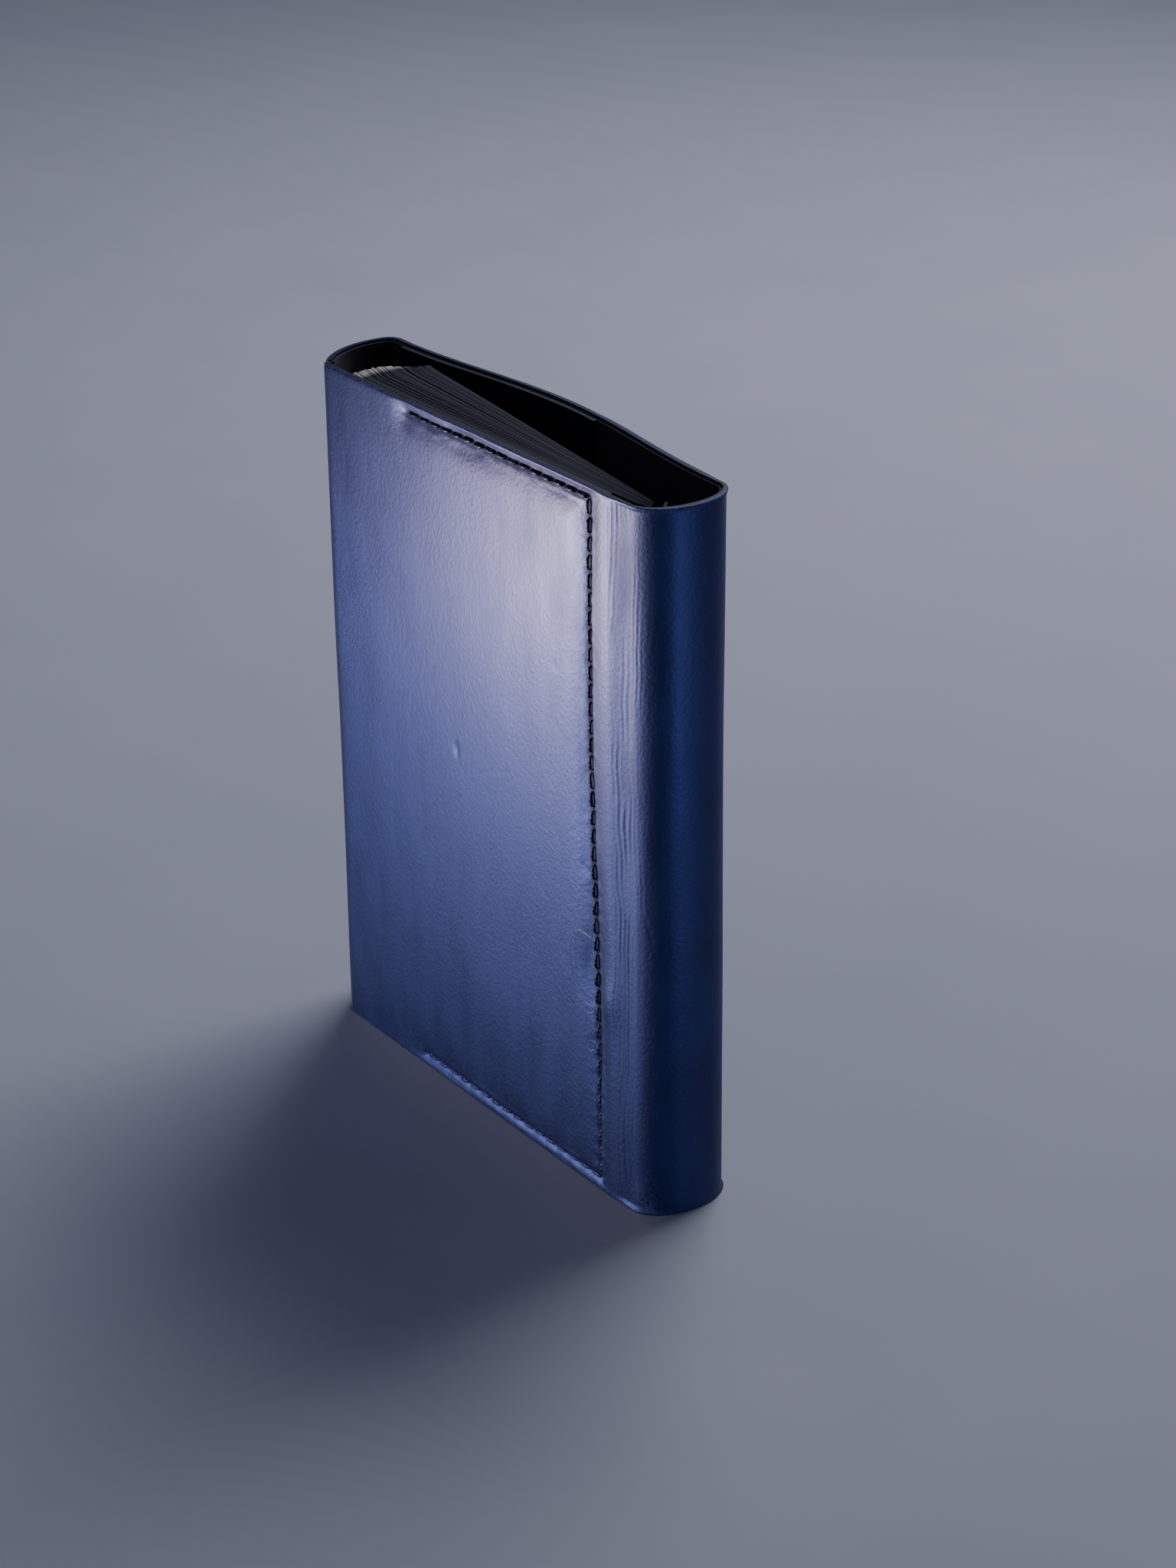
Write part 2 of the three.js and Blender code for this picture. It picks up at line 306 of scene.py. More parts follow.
@dataclass(frozen=True)
class SplitLining(Finish):
    """Split-leather lining with a short nap: matt and dark maroon, with soft patches where the nap
    lies differently."""

    name: str = "split_leather_lining"
    dark: str = "140a0d"
    pale: str = "2c171b"
    patch_mm: float = 9.0
    nap_mm: float = 0.5

    def looks(self, tree: bpy.types.NodeTree) -> dict:
        """Works out the lining: patches of two maroons, a bumpy nap and a little sheen.

        Args:
            tree: the material's tree, which takes the nodes.

        Returns:
            The shader's inputs.
        """
        skin = add_node(tree, "UVMap", {"uv_map": "surface"}).outputs[0]
        patches = add_node(tree, "TexNoise", {}, pattern(skin, self.patch_mm, 4.0, 0.6)).outputs["Fac"]
        share = add_node(tree, "MapRange", SMOOTH_STEP, {0: patches, 1: 0.35, 2: 0.7}).outputs[0]
        base = add_node(tree, "Mix", COLOUR_MIX, between(share, self.dark, self.pale)).outputs[2]
        naps = add_node(tree, "TexNoise", {}, pattern(skin, self.nap_mm, 5.0, 0.75)).outputs["Fac"]
        rise = {"Strength": 0.7, "Distance": 0.15 * MM, "Height": naps}
        normal = add_node(tree, "Bump", {}, rise).outputs[0]
        sheen = {"Sheen Weight": 0.15, "Sheen Roughness": 0.5}
        return {"Base Color": base, "Roughness": 0.85, "Normal": normal, "IOR": 1.45} | sheen


@dataclass(frozen=True)
class WaxedThread(Finish):
    """Waxed polyester sewing thread: two plies laid in a slant, near-black navy, with a painted lavender
    highlight on its crowns that grows towards the foot."""

    name: str = "waxed_polyester_thread"
    dark: str = "05080f"
    pale: str = "1d2547"
    # colour of the painted highlight on the crowns
    lighter_tone: str = "aab4ee"
    gleam: str = "a9b3f0"
    rub_mm: tuple[float, float] = (52.0, 12.0)  # heights between which the painted highlight grows, downwards
    lay_mm: float = 0.75  # length of thread between two crowns of the plies
    slant: float = 35.0  # degrees

    def looks(self, tree: bpy.types.NodeTree) -> dict:
        """Works out the thread: its plies are slanted bands along its length.

        Args:
            tree: the material's tree, which takes the nodes.

        Returns:
            The shader's inputs.
        """
        skin = add_node(tree, "UVMap", {"uv_map": "surface"}).outputs[0]
        turn = {"Vector": skin, "Rotation": (0, 0, math.radians(self.slant))}
        turned = add_node(tree, "Mapping", {}, turn).outputs[0]
        lay = {"Vector": turned, "Scale": bands(self.lay_mm), "Distortion": 0.4, "Detail": 1.0}
        plies = add_node(tree, "TexWave", {"bands_direction": "X"}, lay).outputs["Fac"]
        dye = add_node(tree, "Mix", COLOUR_MIX, between(plies, self.dark, self.pale)).outputs[2]
        # painted highlight: the plies' crowns turn lavender, more so towards the foot
        place = add_node(tree, "TexCoord").outputs["Object"]
        height = add_node(tree, "SeparateXYZ", {}, {0: place}).outputs["Z"]
        span = {0: height, 1: self.rub_mm[0] * MM, 2: self.rub_mm[1] * MM}
        painted_highlight_share = add_node(tree, "MapRange", SMOOTH_STEP, span).outputs[0]
        crown = add_node(tree, "Math", {"operation": "MULTIPLY"}, {0: painted_highlight_share, 1: plies}).outputs[0]
        base = add_node(tree, "Mix", COLOUR_MIX, between(crown, dye, self.lighter_tone)).outputs[2]
        rise = {"Strength": 0.6, "Distance": 0.08 * MM, "Height": plies}
        normal = add_node(tree, "Bump", {}, rise).outputs[0]
        shine = {"Specular Tint": linear(self.gleam), "Specular IOR Level": 0.16}
        return {"Base Color": base, "Roughness": 0.45, "Normal": normal, "IOR": 1.5} | shine


@dataclass(frozen=True)
class FrayedFibre(Finish):
    """Fluff from the thread: fine undyed polyester hairs, pale and slightly shiny."""

    name: str = "frayed_polyester_fibre"
    grey: str = "3f4664"
    pale: str = "7279a0"
    drift_mm: float = 2.0

    def looks(self, tree: bpy.types.NodeTree) -> dict:
        """Works out the fibre, whose colour drifts along its length.

        Args:
            tree: the material's tree, which takes the nodes.

        Returns:
            The shader's inputs.
        """
        skin = add_node(tree, "UVMap", {"uv_map": "surface"}).outputs[0]
        drift = add_node(tree, "TexNoise", {}, pattern(skin, self.drift_mm)).outputs["Fac"]
        base = add_node(tree, "Mix", COLOUR_MIX, between(drift, self.grey, self.pale)).outputs[2]
        return {"Base Color": base, "Roughness": 0.4, "IOR": 1.55}


@dataclass(frozen=True)
class UncoatedPaper(Finish):
    """Uncoated book paper: matt, warm cream and stained by handling, with painted shade that greys it
    everywhere but where the sheets end.
    """

    name: str = "uncoated_book_paper"
    # colour of the painted shade over most of the sheets
    grey: str = "3a3941"
    cream: str = "d8d0c4"
    stain: str = "211f24"
    shade_edge_mm: tuple[float, float] = (-41.4, -39.6)  # where, along X, the cream edge turns to the grey of the painted shade
    stain_mm: float = 6.0
    tooth_mm: float = 0.8

    def looks(self, tree: bpy.types.NodeTree) -> dict:
        """Works out the paper: cream to the grey of painted shade along X, patchy stains, and a slight tooth.

        Args:
            tree: the material's tree, which takes the nodes.

        Returns:
            The shader's inputs.
        """
        skin = add_node(tree, "UVMap", {"uv_map": "surface"}).outputs[0]
        along = add_node(tree, "SeparateXYZ", {}, {0: skin}).outputs["X"]
        span = {0: along, 1: self.shade_edge_mm[0] * MM, 2: self.shade_edge_mm[1] * MM}
        fade = add_node(tree, "MapRange", SMOOTH_STEP, span).outputs[0]
        cream_with_painted_shade = add_node(tree, "Mix", COLOUR_MIX, between(fade, self.cream, self.grey)).outputs[2]
        stains = add_node(tree, "TexNoise", {}, pattern(skin, self.stain_mm, 4.0, 0.6)).outputs["Fac"]
        share = add_node(tree, "MapRange", SMOOTH_STEP, {0: stains, 1: 0.4, 2: 0.9, 4: 0.35}).outputs[0]
        base = add_node(tree, "Mix", COLOUR_MIX, between(share, cream_with_painted_shade, self.stain)).outputs[2]
        teeth = add_node(tree, "TexNoise", {}, pattern(skin, self.tooth_mm, 4.0, 0.7)).outputs["Fac"]
        rise = {"Strength": 0.35, "Distance": 0.05 * MM, "Height": teeth}
        normal = add_node(tree, "Bump", {}, rise).outputs[0]
        return {"Base Color": base, "Roughness": 0.9, "Normal": normal, "IOR": 1.45}


@dataclass(frozen=True)
class WovenTape(Finish):
    """Cotton binding tape: a plain weave of dark threads that lifts a little at every crossing."""

    name: str = "woven_cotton_tape"
    dark: str = "121118"
    pale: str = "34323e"
    thread_mm: float = 0.6

    def looks(self, tree: bpy.types.NodeTree) -> dict:
        """Works out the tape: its weave is the product of two sets of bands at right angles.

        Args:
            tree: the material's tree, which takes the nodes.

        Returns:
            The shader's inputs.
        """
        skin = add_node(tree, "UVMap", {"uv_map": "surface"}).outputs[0]
        lay = {"Vector": skin, "Scale": bands(self.thread_mm)}
        warp = add_node(tree, "TexWave", {"bands_direction": "X"}, lay).outputs["Fac"]
        weft = add_node(tree, "TexWave", {"bands_direction": "Y"}, lay).outputs["Fac"]
        weave = add_node(tree, "Math", {"operation": "MULTIPLY"}, {0: warp, 1: weft}).outputs[0]
        base = add_node(tree, "Mix", COLOUR_MIX, between(weave, self.dark, self.pale)).outputs[2]
        rise = {"Strength": 0.5, "Distance": 0.1 * MM, "Height": weave}
        normal = add_node(tree, "Bump", {}, rise).outputs[0]
        return {"Base Color": base, "Roughness": 0.8, "Normal": normal, "IOR": 1.45}


@dataclass(frozen=True)
class BackgroundPaper(Finish):
    """Seamless matt background paper under the wallet, very slightly cloudy and without any shine."""

    name: str = "seamless_background_paper"
    light: str = "c9c9cd"
    shade: str = "bfc0c6"
    cloud_mm: float = 60.0

    def looks(self, tree: bpy.types.NodeTree) -> dict:
        """Works out the floor's paper: two greys mixed by a wide noise.

        Args:
            tree: the material's tree, which takes the nodes.

        Returns:
            The shader's inputs.
        """
        place = add_node(tree, "TexCoord").outputs["Object"]
        cloud = add_node(tree, "TexNoise", {}, pattern(place, self.cloud_mm)).outputs["Fac"]
        base = add_node(tree, "Mix", COLOUR_MIX, between(cloud, self.light, self.shade)).outputs[2]
        return {"Base Color": base, "Roughness": 1.0, "Specular IOR Level": 0.0}


# --- plan of the cover -----------------------------------------------------------------------


class Mark(Enum):
    """Named places along the leather."""

    FRONT_TIP = "front tip"
    SEAM = "front seam"
    FRONT_BEND = "front bend"
    SPINE_MIDDLE = "spine middle"
    BACK_BEND = "back bend"
    BACK_MIDDLE = "back middle"
    CORNER = "corner"
    FLAP_TIP = "flap tip"


@dataclass(frozen=True)
class Plan:
    """The cover's outline seen from above, with its driving sizes in millimetres.

    u runs from the front seam towards the fore-edge and v runs from the front face to the back.
    """

    height: float
    front_y: float
    spine_x: float
    spine_width: float = 21.0
    spine_depth: float = 6.6
    bend_u: float = -10.0
    back_bulge: float = 4.4
    nose_u: float = 79.0
    nose_v: float = 15.05
    nose_r: float = 17.8
    corner_r: float = 3.4
    tip_u: float = 90.3
    curl_u: float = 86.55
    curl_r: float = 6.05
    flap_tip: float = -49.2  # degrees round the nose circle

    @staticmethod
    def from_frame() -> "Plan":
        """Reads the height and the outer faces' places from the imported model."""
        low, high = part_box("front_cover")
        return Plan(height=high.z / MM, front_y=low.y / MM, spine_x=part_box("spine_cover")[1].x / MM)

    def at(self, u: np.ndarray, v: np.ndarray) -> np.ndarray:
        """Plan positions (u, v) as (x, y) rows."""
        x = self.spine_x + self.bend_u - self.spine_depth - np.asarray(u)
        return np.stack([x, np.asarray(v) + self.front_y], axis=-1)

    @property
    def corner(self) -> tuple[float, float, float]:
        """Centre (u, v) of the bend into the flap, and the angle at which the nose circle takes over."""
        v = self.spine_width - self.corner_r
        angle = math.asin((v - self.nose_v) / (self.nose_r - self.corner_r))
        return self.nose_u + (self.nose_r - self.corner_r) * math.cos(angle), v, angle


class Outline:
    """The dense outer outline, sampled evenly by length, with its inward normals.

    The curve is a chain: a tight curl at the front tip, a straight front, a half ellipse for the
    spine, a squared-sine bow for the back, a small bend, and a wide arc for the flap.
    """

    def __init__(self, plan: Plan, step: float = 0.05) -> None:
        """Builds the outline.

        Args:
            plan: the driving sizes.
            step: spacing of the samples.
        """
        self.plan = plan
        half = plan.spine_width / 2
        corner_u, corner_v, corner_angle = plan.corner
        curl = np.linspace(plan.tip_u, plan.curl_u, 200)
        front = np.linspace(plan.curl_u, plan.bend_u, 400)[1:]
        turn = np.linspace(0, math.pi, 900)[1:]
        back = np.linspace(plan.bend_u, corner_u, 1200)[1:]
        bend = np.linspace(math.pi / 2, corner_angle, 200)[1:]
        nose = np.linspace(corner_angle, math.radians(plan.flap_tip), 500)[1:]
        share = (back - plan.bend_u) / (corner_u - plan.bend_u)
        chain = [
            (Mark.FRONT_TIP, curl, plan.curl_r - np.sqrt(plan.curl_r**2 - (curl - plan.curl_u) ** 2)),
            (None, front, 0 * front),
            (Mark.FRONT_BEND, plan.bend_u - plan.spine_depth * np.sin(turn), half - half * np.cos(turn)),
            (Mark.BACK_BEND, back, plan.spine_width + plan.back_bulge * np.sin(math.pi * share) ** 2),
            (Mark.CORNER, corner_u + plan.corner_r * np.cos(bend), corner_v + plan.corner_r * np.sin(bend)),
            (None, plan.nose_u + plan.nose_r * np.cos(nose), plan.nose_v + plan.nose_r * np.sin(nose)),
        ]
        raw = np.concatenate([plan.at(u, v) for _, u, v in chain])
        length = np.concatenate([[0], np.cumsum(np.linalg.norm(np.diff(raw, axis=0), axis=1))])
        self.marks: dict[Mark, float] = {}
        count = 0
        for mark, u, _ in chain:
            if mark:
                self.marks[mark] = float(length[max(0, count - 1)])
            count += len(u)
        self.marks[Mark.SEAM] = self.marks[Mark.FRONT_BEND] + plan.bend_u
        self.marks[Mark.SPINE_MIDDLE] = (self.marks[Mark.FRONT_BEND] + self.marks[Mark.BACK_BEND]) / 2
        self.marks[Mark.BACK_MIDDLE] = (self.marks[Mark.BACK_BEND] + self.marks[Mark.CORNER]) / 2
        self.marks[Mark.FLAP_TIP] = float(length[-1])
        self.s = np.arange(0, length[-1], step)
        self.xy = np.stack([np.interp(self.s, length, raw[:, k]) for k in (0, 1)], axis=-1)
        along = directions(self.xy)
        self.inward = np.stack([-along[:, 1], along[:, 0]], axis=-1)

    def __getitem__(self, mark: Mark) -> float:
        """The length s at a named place."""
        return self.marks[mark]

    def front_s(self, u: float) -> float:
        """s of the place on the flat front that has the given u."""
        return self.marks[Mark.SEAM] - u

    def back_s(self, u: float) -> float:
        """Finds a place on the back cover.

        Args:
            u: its distance from the front seam, level.

        Returns:
            Its length s along the leather.
        """
        on_back = (self.s > self.marks[Mark.BACK_BEND]) & (self.s < self.marks[Mark.CORNER])
        x = self.plan.at(u, 0.0)[0]
        return float(self.s[on_back][np.argmin(np.abs(self.xy[on_back, 0] - x))])

    def place(self, s: np.ndarray, z: np.ndarray, depth: np.ndarray) -> np.ndarray:
        """Points at surface coordinates.

        Formula: the outline point at s, moved inwards by depth along the outline's normal, at height z.

        Args:
            s: lengths along the leather.
            z: heights, of the same shape.
            depth: depths below the outer face, of the same shape.

        Returns:
            Points with a last axis of x, y and z.
        """
        s, z, depth = np.broadcast_arrays(s, z, depth)
        places = []
        for outer, inward in zip(self.xy.T, self.inward.T):
            places.append(np.interp(s, self.s, outer) + depth * np.interp(s, self.s, inward))
        return np.stack([*places, z], axis=-1)


# --- shape helpers ---------------------------------------------------------------------------


def steps(*runs: tuple[float, float, float]) -> np.ndarray:
    """Joins even runs of samples into one rising list.

    Args:
        *runs: (start, end, spacing) of each run; each run starts where the last one ended.

    Returns:
        The sample positions.
    """
    parts = [np.linspace(a, b, max(2, round((b - a) / gap) + 1)) for a, b, gap in runs]
    return np.concatenate([parts[0], *[p[1:] for p in parts[1:]]])


def directions(path: np.ndarray) -> np.ndarray:
    """Unit directions along a path of places, from the differences between neighbours."""
    along = np.gradient(path, axis=0)
    return along / np.linalg.norm(along, axis=1, keepdims=True)


def soften(path: np.ndarray, times: int) -> np.ndarray:
    """Rounds a path off: each inner place moves halfway to the middle of its neighbours.

    Args:
        path: (n, any) places, which are changed.
        times: how often this is done.

    Returns:
        The same path.
    """
    for _ in range(times):
        path[1:-1] = (path[:-2] + 2 * path[1:-1] + path[2:]) / 4
    return path


def lattice_noise(x: np.ndarray, y: np.ndarray, cell: tuple[float, float], seed: int) -> np.ndarray:
    """Smooth random values between -1 and 1.

    Formula: random numbers on a grid of cells, blended between grid points with a smooth step.

    Args:
        x: first coordinate.
        y: second coordinate, of the same shape.
        cell: the cell's size along x and y.
        seed: fixes the random numbers.

    Returns:
        A value for each point.
    """
    size = 96
    table = np.random.default_rng(seed).uniform(-1, 1, (size, size))
    gx, gy = np.asarray(x) / cell[0] + 40, np.asarray(y) / cell[1] + 10
    ix, iy = np.floor(gx).astype(int), np.floor(gy).astype(int)
    fx, fy = smooth(gx - ix), smooth(gy - iy)
    near, far = table[ix % size, iy % size], table[ix % size, (iy + 1) % size]
    near_x, far_x = table[(ix + 1) % size, iy % size], table[(ix + 1) % size, (iy + 1) % size]
    return (near * (1 - fx) + near_x * fx) * (1 - fy) + (far * (1 - fx) + far_x * fx) * fy


def bell(distance: np.ndarray, width: float) -> np.ndarray:
    """A bell curve of a distance: 1 at 0, and about 0.6 at one width."""
    return np.exp(-0.5 * (distance / width) ** 2)


def smooth(t: np.ndarray) -> np.ndarray:
    """Smooth step from 0 to 1."""
    t = np.clip(t, 0, 1)
    return t * t * (3 - 2 * t)


def line_distance(
    s: np.ndarray, z: np.ndarray, a: np.ndarray, b: np.ndarray
) -> tuple[np.ndarray, np.ndarray]:
    """Distance from surface points to a straight line, and how far along it the nearest point is.

    Args:
        s: lengths along the leather.
        z: heights, of the same shape.
        a: the line's first end (s, z).
        b: its second end.

    Returns:
        The distances, and the shares from 0 at a to 1 at b.
    """
    way = b - a
    t = np.clip(((s - a[0]) * way[0] + (z - a[1]) * way[1]) / (way @ way), 0, 1)
    return np.hypot(s - a[0] - t * way[0], z - a[1] - t * way[1]), t


@dataclass
class Surface:
    """Vertices, quads, surface coordinates and wear of a piece, gathered before its mesh is made."""

    points: list[np.ndarray] = field(default_factory=list)
    quads: list[np.ndarray] = field(default_factory=list)
    uv: list[np.ndarray] = field(default_factory=list)
    wear_and_shade: list[np.ndarray] = field(default_factory=list)
    slots: list[np.ndarray] = field(default_factory=list)
    count: int = 0

    def add(
        self,
        points: np.ndarray,
        quads: np.ndarray,
        uv: np.ndarray,
        wear_and_shade: np.ndarray | None = None,
        slots: np.ndarray | None = None,
    ) -> None:
        """Adds one closed body.

        Args:
            points: (n, 3) positions in millimetres.
            quads: (m, 4) corner numbers, counted from this body's first vertex.
            uv: (n, 2) surface coordinates in millimetres.
            wear_and_shade: (n,) share of wear, or None for none.
            slots: (m,) material number of each quad, or None for the first.
        """
        self.points.append(points)
        self.quads.append(quads + self.count)
        self.uv.append(uv)
        self.wear_and_shade.append(np.zeros(len(points)) if wear_and_shade is None else wear_and_shade)
        self.slots.append(np.zeros(len(quads), int) if slots is None else slots)
        self.count += len(points)

    def add_shell(
        self,
        outer: np.ndarray,
        inner: np.ndarray,
        uv: np.ndarray,
        wear_and_shade: np.ndarray | None = None,
        edge_slot: int = 0,
    ) -> None:
        """Adds a closed sheet from two grids, with a strip of quads round its four edges.

        Args:
            outer: (rows, columns, 3) grid of the outer face.
            inner: the same grid on the inner face.
            uv: (rows, columns, 2) surface coordinates.
            wear_and_shade: (rows, columns) wear of the outer face.
            edge_slot: material number of the strip.
        """
        rows, columns = outer.shape[:2]
        top = np.arange(rows * columns).reshape(rows, columns)
        under = top + rows * columns
        faces = np.stack([top[:-1, :-1], top[1:, :-1], top[1:, 1:], top[:-1, 1:]], axis=-1).reshape(-1, 4)
        rims = [(top[:, 0], under[:, 0]), (under[:, -1], top[:, -1])]
        rims += [(under[0], top[0]), (top[-1], under[-1])]
        strips = [np.stack([a[:-1], b[:-1], b[1:], a[1:]], axis=-1) for a, b in rims]
        quads = np.concatenate([faces, faces[:, ::-1] + rows * columns, *strips])
        slots = np.zeros(len(quads), int)
        slots[2 * len(faces) :] = edge_slot
        worn = np.zeros(rows * columns) if wear_and_shade is None else wear_and_shade.ravel()
        points = np.concatenate([outer.reshape(-1, 3), inner.reshape(-1, 3)])
        flat = uv.reshape(-1, 2)
        self.add(points, quads, np.concatenate([flat, flat]), np.concatenate([worn, 0 * worn]), slots)

    def add_tubes(self, points: np.ndarray, uv: np.ndarray, flipped: bool = False) -> None:
        """Adds closed tubes with eight sides, whose ends are closed by three quads each.

        Args:
            points: (tubes, rings, 8, 3) positions.
            uv: (tubes, rings, 8, 2) surface coordinates.
            flipped: whether the rings run the other way round.
        """
        tubes, rings, sides = points.shape[:3]
        number = np.arange(rings * sides).reshape(rings, sides)
        after = np.roll(number, -1, axis=1)
        wall = np.stack([number[:-1], number[1:], after[1:], after[:-1]], axis=-1).reshape(-1, 4)
        k = np.arange(sides // 2 - 1)
        cap = np.stack([k, k + 1, sides - 2 - k, sides - 1 - k], axis=-1)
        quads = np.concatenate([wall, cap, number[-1][cap][:, ::-1]])
        quads = quads[:, ::-1] if flipped else quads
        starts = np.arange(tubes)[:, None, None] * rings * sides
        self.add(points.reshape(-1, 3), (quads + starts).reshape(-1, 4), uv.reshape(-1, 2))

    def to_object(
        self, name: str, materials: list[bpy.types.Material], sharp_degrees: float
    ) -> bpy.types.Object:
        """Makes the mesh object.

        Args:
            name: the object's name.
            materials: its materials, in slot order.
            sharp_degrees: edges that turn by more than this stay crisp.

        Returns:
            The object, linked into the scene.
        """
        points, quads = np.concatenate(self.points) * MM, np.concatenate(self.quads)
        mesh = bpy.data.meshes.new(name)
        mesh.from_pydata(points.tolist(), [], quads.tolist())
        uv = np.concatenate(self.uv)[quads.ravel()] * MM
        mesh.uv_layers.new(name="surface").data.foreach_set("uv", uv.astype(np.float32).ravel())
        wear_and_shade = mesh.attributes.new("wear_and_shade", "FLOAT", "POINT")
        wear_and_shade.data.foreach_set("value", np.concatenate(self.wear_and_shade).astype(np.float32))
        for material in materials:
            mesh.materials.append(material)
        mesh.polygons.foreach_set("material_index", np.concatenate(self.slots).astype(np.int32))
        mesh.polygons.foreach_set("use_smooth", np.ones(len(quads), bool))
        mesh.set_sharp_from_angle(angle=math.radians(sharp_degrees))
        mesh.update()
        piece = bpy.data.objects.new(name, mesh)
        bpy.context.scene.collection.objects.link(piece)
        return piece


def tube(path: np.ndarray, radius: np.ndarray, sideways: np.ndarray) -> np.ndarray:
    """An eight-sided tube along a path.

    Formula: each ring lies across the path's direction, spread by the sideways direction made square
    to the path and by the direction square to both.

    Args:
        path: (rings, 3) middle line.
        radius: (rings,) radius of each ring.
        sideways: (3,) a direction that the path never runs along.

    Returns:
        (1, rings, 8, 3) positions.
    """
    along = directions(path)
    first = sideways - along * (along @ sideways)[:, None]
    first /= np.linalg.norm(first, axis=1, keepdims=True)
    second = np.cross(along, first)
    angle = np.linspace(0, 2 * math.pi, SIDES, endpoint=False)[None, :, None]
    ring = np.cos(angle) * first[:, None] + np.sin(angle) * second[:, None]
    return (path[:, None] + radius[:, None, None] * ring)[None]


def declare(piece: bpy.types.Object, nodes: tuple[str, ...]) -> None:
    """Hides the model's parts that a piece stands for, and logs what it stands for.

    Args:
        piece: the finished piece.
        nodes: the model's nodes that it stands for.
    """
    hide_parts(*nodes)
    log.info("%s: %d faces, stands for %s", piece.name, len(piece.data.polygons), ", ".join(nodes))


# --- seams -----------------------------------------------------------------------------------


@dataclass(frozen=True)
class Seam:
    """A U-shaped lockstitch: two level runs that leave the ends of one upright run, which the hand
    has let drift towards the open side in its upper part."""

    closed_s: float
    open_s: float
    low_z: float
    high_z: float
    drift: float = 0.0
    drift_share: float = 0.62  # share of the height at which the drift is complete
    level_count: int = 16
    upright_counts: tuple[int, int] = (15, 23)  # above and below that height

    def runs(self) -> list[tuple[np.ndarray, np.ndarray, int]]:
        """Works out the straight runs, from the top of the open side round to its foot.

        Returns:
            Each run's first and last point (s, z) and its number of stitches.
        """
        drifted = self.closed_s + self.drift
        corners = [(self.open_s, self.high_z), (drifted, self.high_z)]
        corners += [(drifted, self.drift_share * self.high_z)]
        corners += [(self.closed_s, self.low_z), (self.open_s, self.low_z)]
        points = [np.array(c) for c in corners]
        counts = (self.level_count, *self.upright_counts, self.level_count)
        return list(zip(points[:-1], points[1:], counts))

    def holes(self) -> np.ndarray:
        """(n, 2) places of the needle holes, evenly spread along each run."""
        return np.concatenate([a + (b - a) * np.linspace(0, 1, n + 1)[:, None] for a, b, n in self.runs()])

    def distance(self, s: np.ndarray, z: np.ndarray) -> np.ndarray:
        """Distance from surface points to the nearest run."""
        return np.min([line_distance(s, z, a, b)[0] for a, b, _ in self.runs()], axis=0)

    def pull(self, s: np.ndarray, z: np.ndarray, width: float) -> np.ndarray:
        """How strongly the needle holes pull at surface points: a bell round each hole.

        Args:
            s: lengths along the leather.
            z: heights, of the same shape.
            width: the bell's width.

        Returns:
            The strongest bell at each point.
        """
        total = np.zeros(np.shape(s))
        near = self.distance(s, z) < 4 * width
        if near.any():
            places = self.holes()
            gap = np.hypot(s[near][:, None] - places[:, 0], z[near][:, None] - places[:, 1])
            total[near] = bell(gap.min(axis=1), width)
        return total


class Side(Enum):
    """Which face of the work the stitches are seen on; the value is the way out, as a depth."""

    OUTER = -1
    INNER = 1


@dataclass(frozen=True)
class StitchRow:
    """Separate visible stitches along a seam: a thread that dives into a hole at both ends."""

    seam: Seam
    radius: float = 0.34
    rise: float = 0.12
    sink: float = 0.6
    hole: float = 0.5  # length of leather between two stitches
    stations: tuple[float, ...] = (-1, -0.94, -0.78, -0.4, 0.4, 0.78, 0.94, 1)

    def build(self, outline: Outline, depth: float, side: Side, seed: int) -> Surface:
        """Lays a thread loop between each pair of neighbouring holes.

        Formula: the thread's middle follows a flat-topped arch, rise - (rise + sink) t^6 with t from
        -1 to 1 along the stitch, and round it runs a ring that narrows towards both holes. Each stitch
        leans, shifts and swells a little on its own.

        Args:
            outline: the cover's outline.
            depth: depth of the face that the stitches lie on.
            side: the face's side.
            seed: fixes each stitch's small differences.

        Returns:
            The stitches as closed bodies.
        """
        random = np.random.default_rng(seed)
        surface = Surface()
        t = np.array(self.stations)[None, :, None]
        angle = np.linspace(0, 2 * math.pi, SIDES, endpoint=False)[None, None, :]
        for a, b, count in self.seam.runs():
            pitch = float(np.linalg.norm(b - a)) / count
            way = (b - a) / np.linalg.norm(b - a)
            each = (count, 1, 1)
            lean, shift = random.normal(0, 0.06, each), random.normal(0, 0.05, each)
            fat = self.radius * random.uniform(0.88, 1.12, each)
            lift = self.rise * random.uniform(0.6, 1.3, each)
            along = t * (pitch - self.hole) / 2 + 0 * angle + 0 * fat
            taper = np.sqrt(np.clip(1 - np.abs(t) ** 8, 0.12, 1)) * (1 - 0.12 * t**2)
            across = lean * along + shift + fat * taper * np.cos(angle)
            above = lift - (lift + self.sink) * np.abs(t) ** 6 + fat * taper * np.sin(angle) * 0.85
            middle = (np.arange(count).reshape(each) + 0.5) * pitch + along
            s = a[0] + way[0] * middle - way[1] * across
            z = a[1] + way[1] * middle + way[0] * across
            uv = np.stack(np.broadcast_arrays(middle, angle * self.radius + 0 * middle), axis=-1)
            points = outline.place(s, z, depth + side.value * above)
            surface.add_tubes(points, uv, flipped=side is Side.OUTER)
        return surface


# --- the cover -------------------------------------------------------------------------------


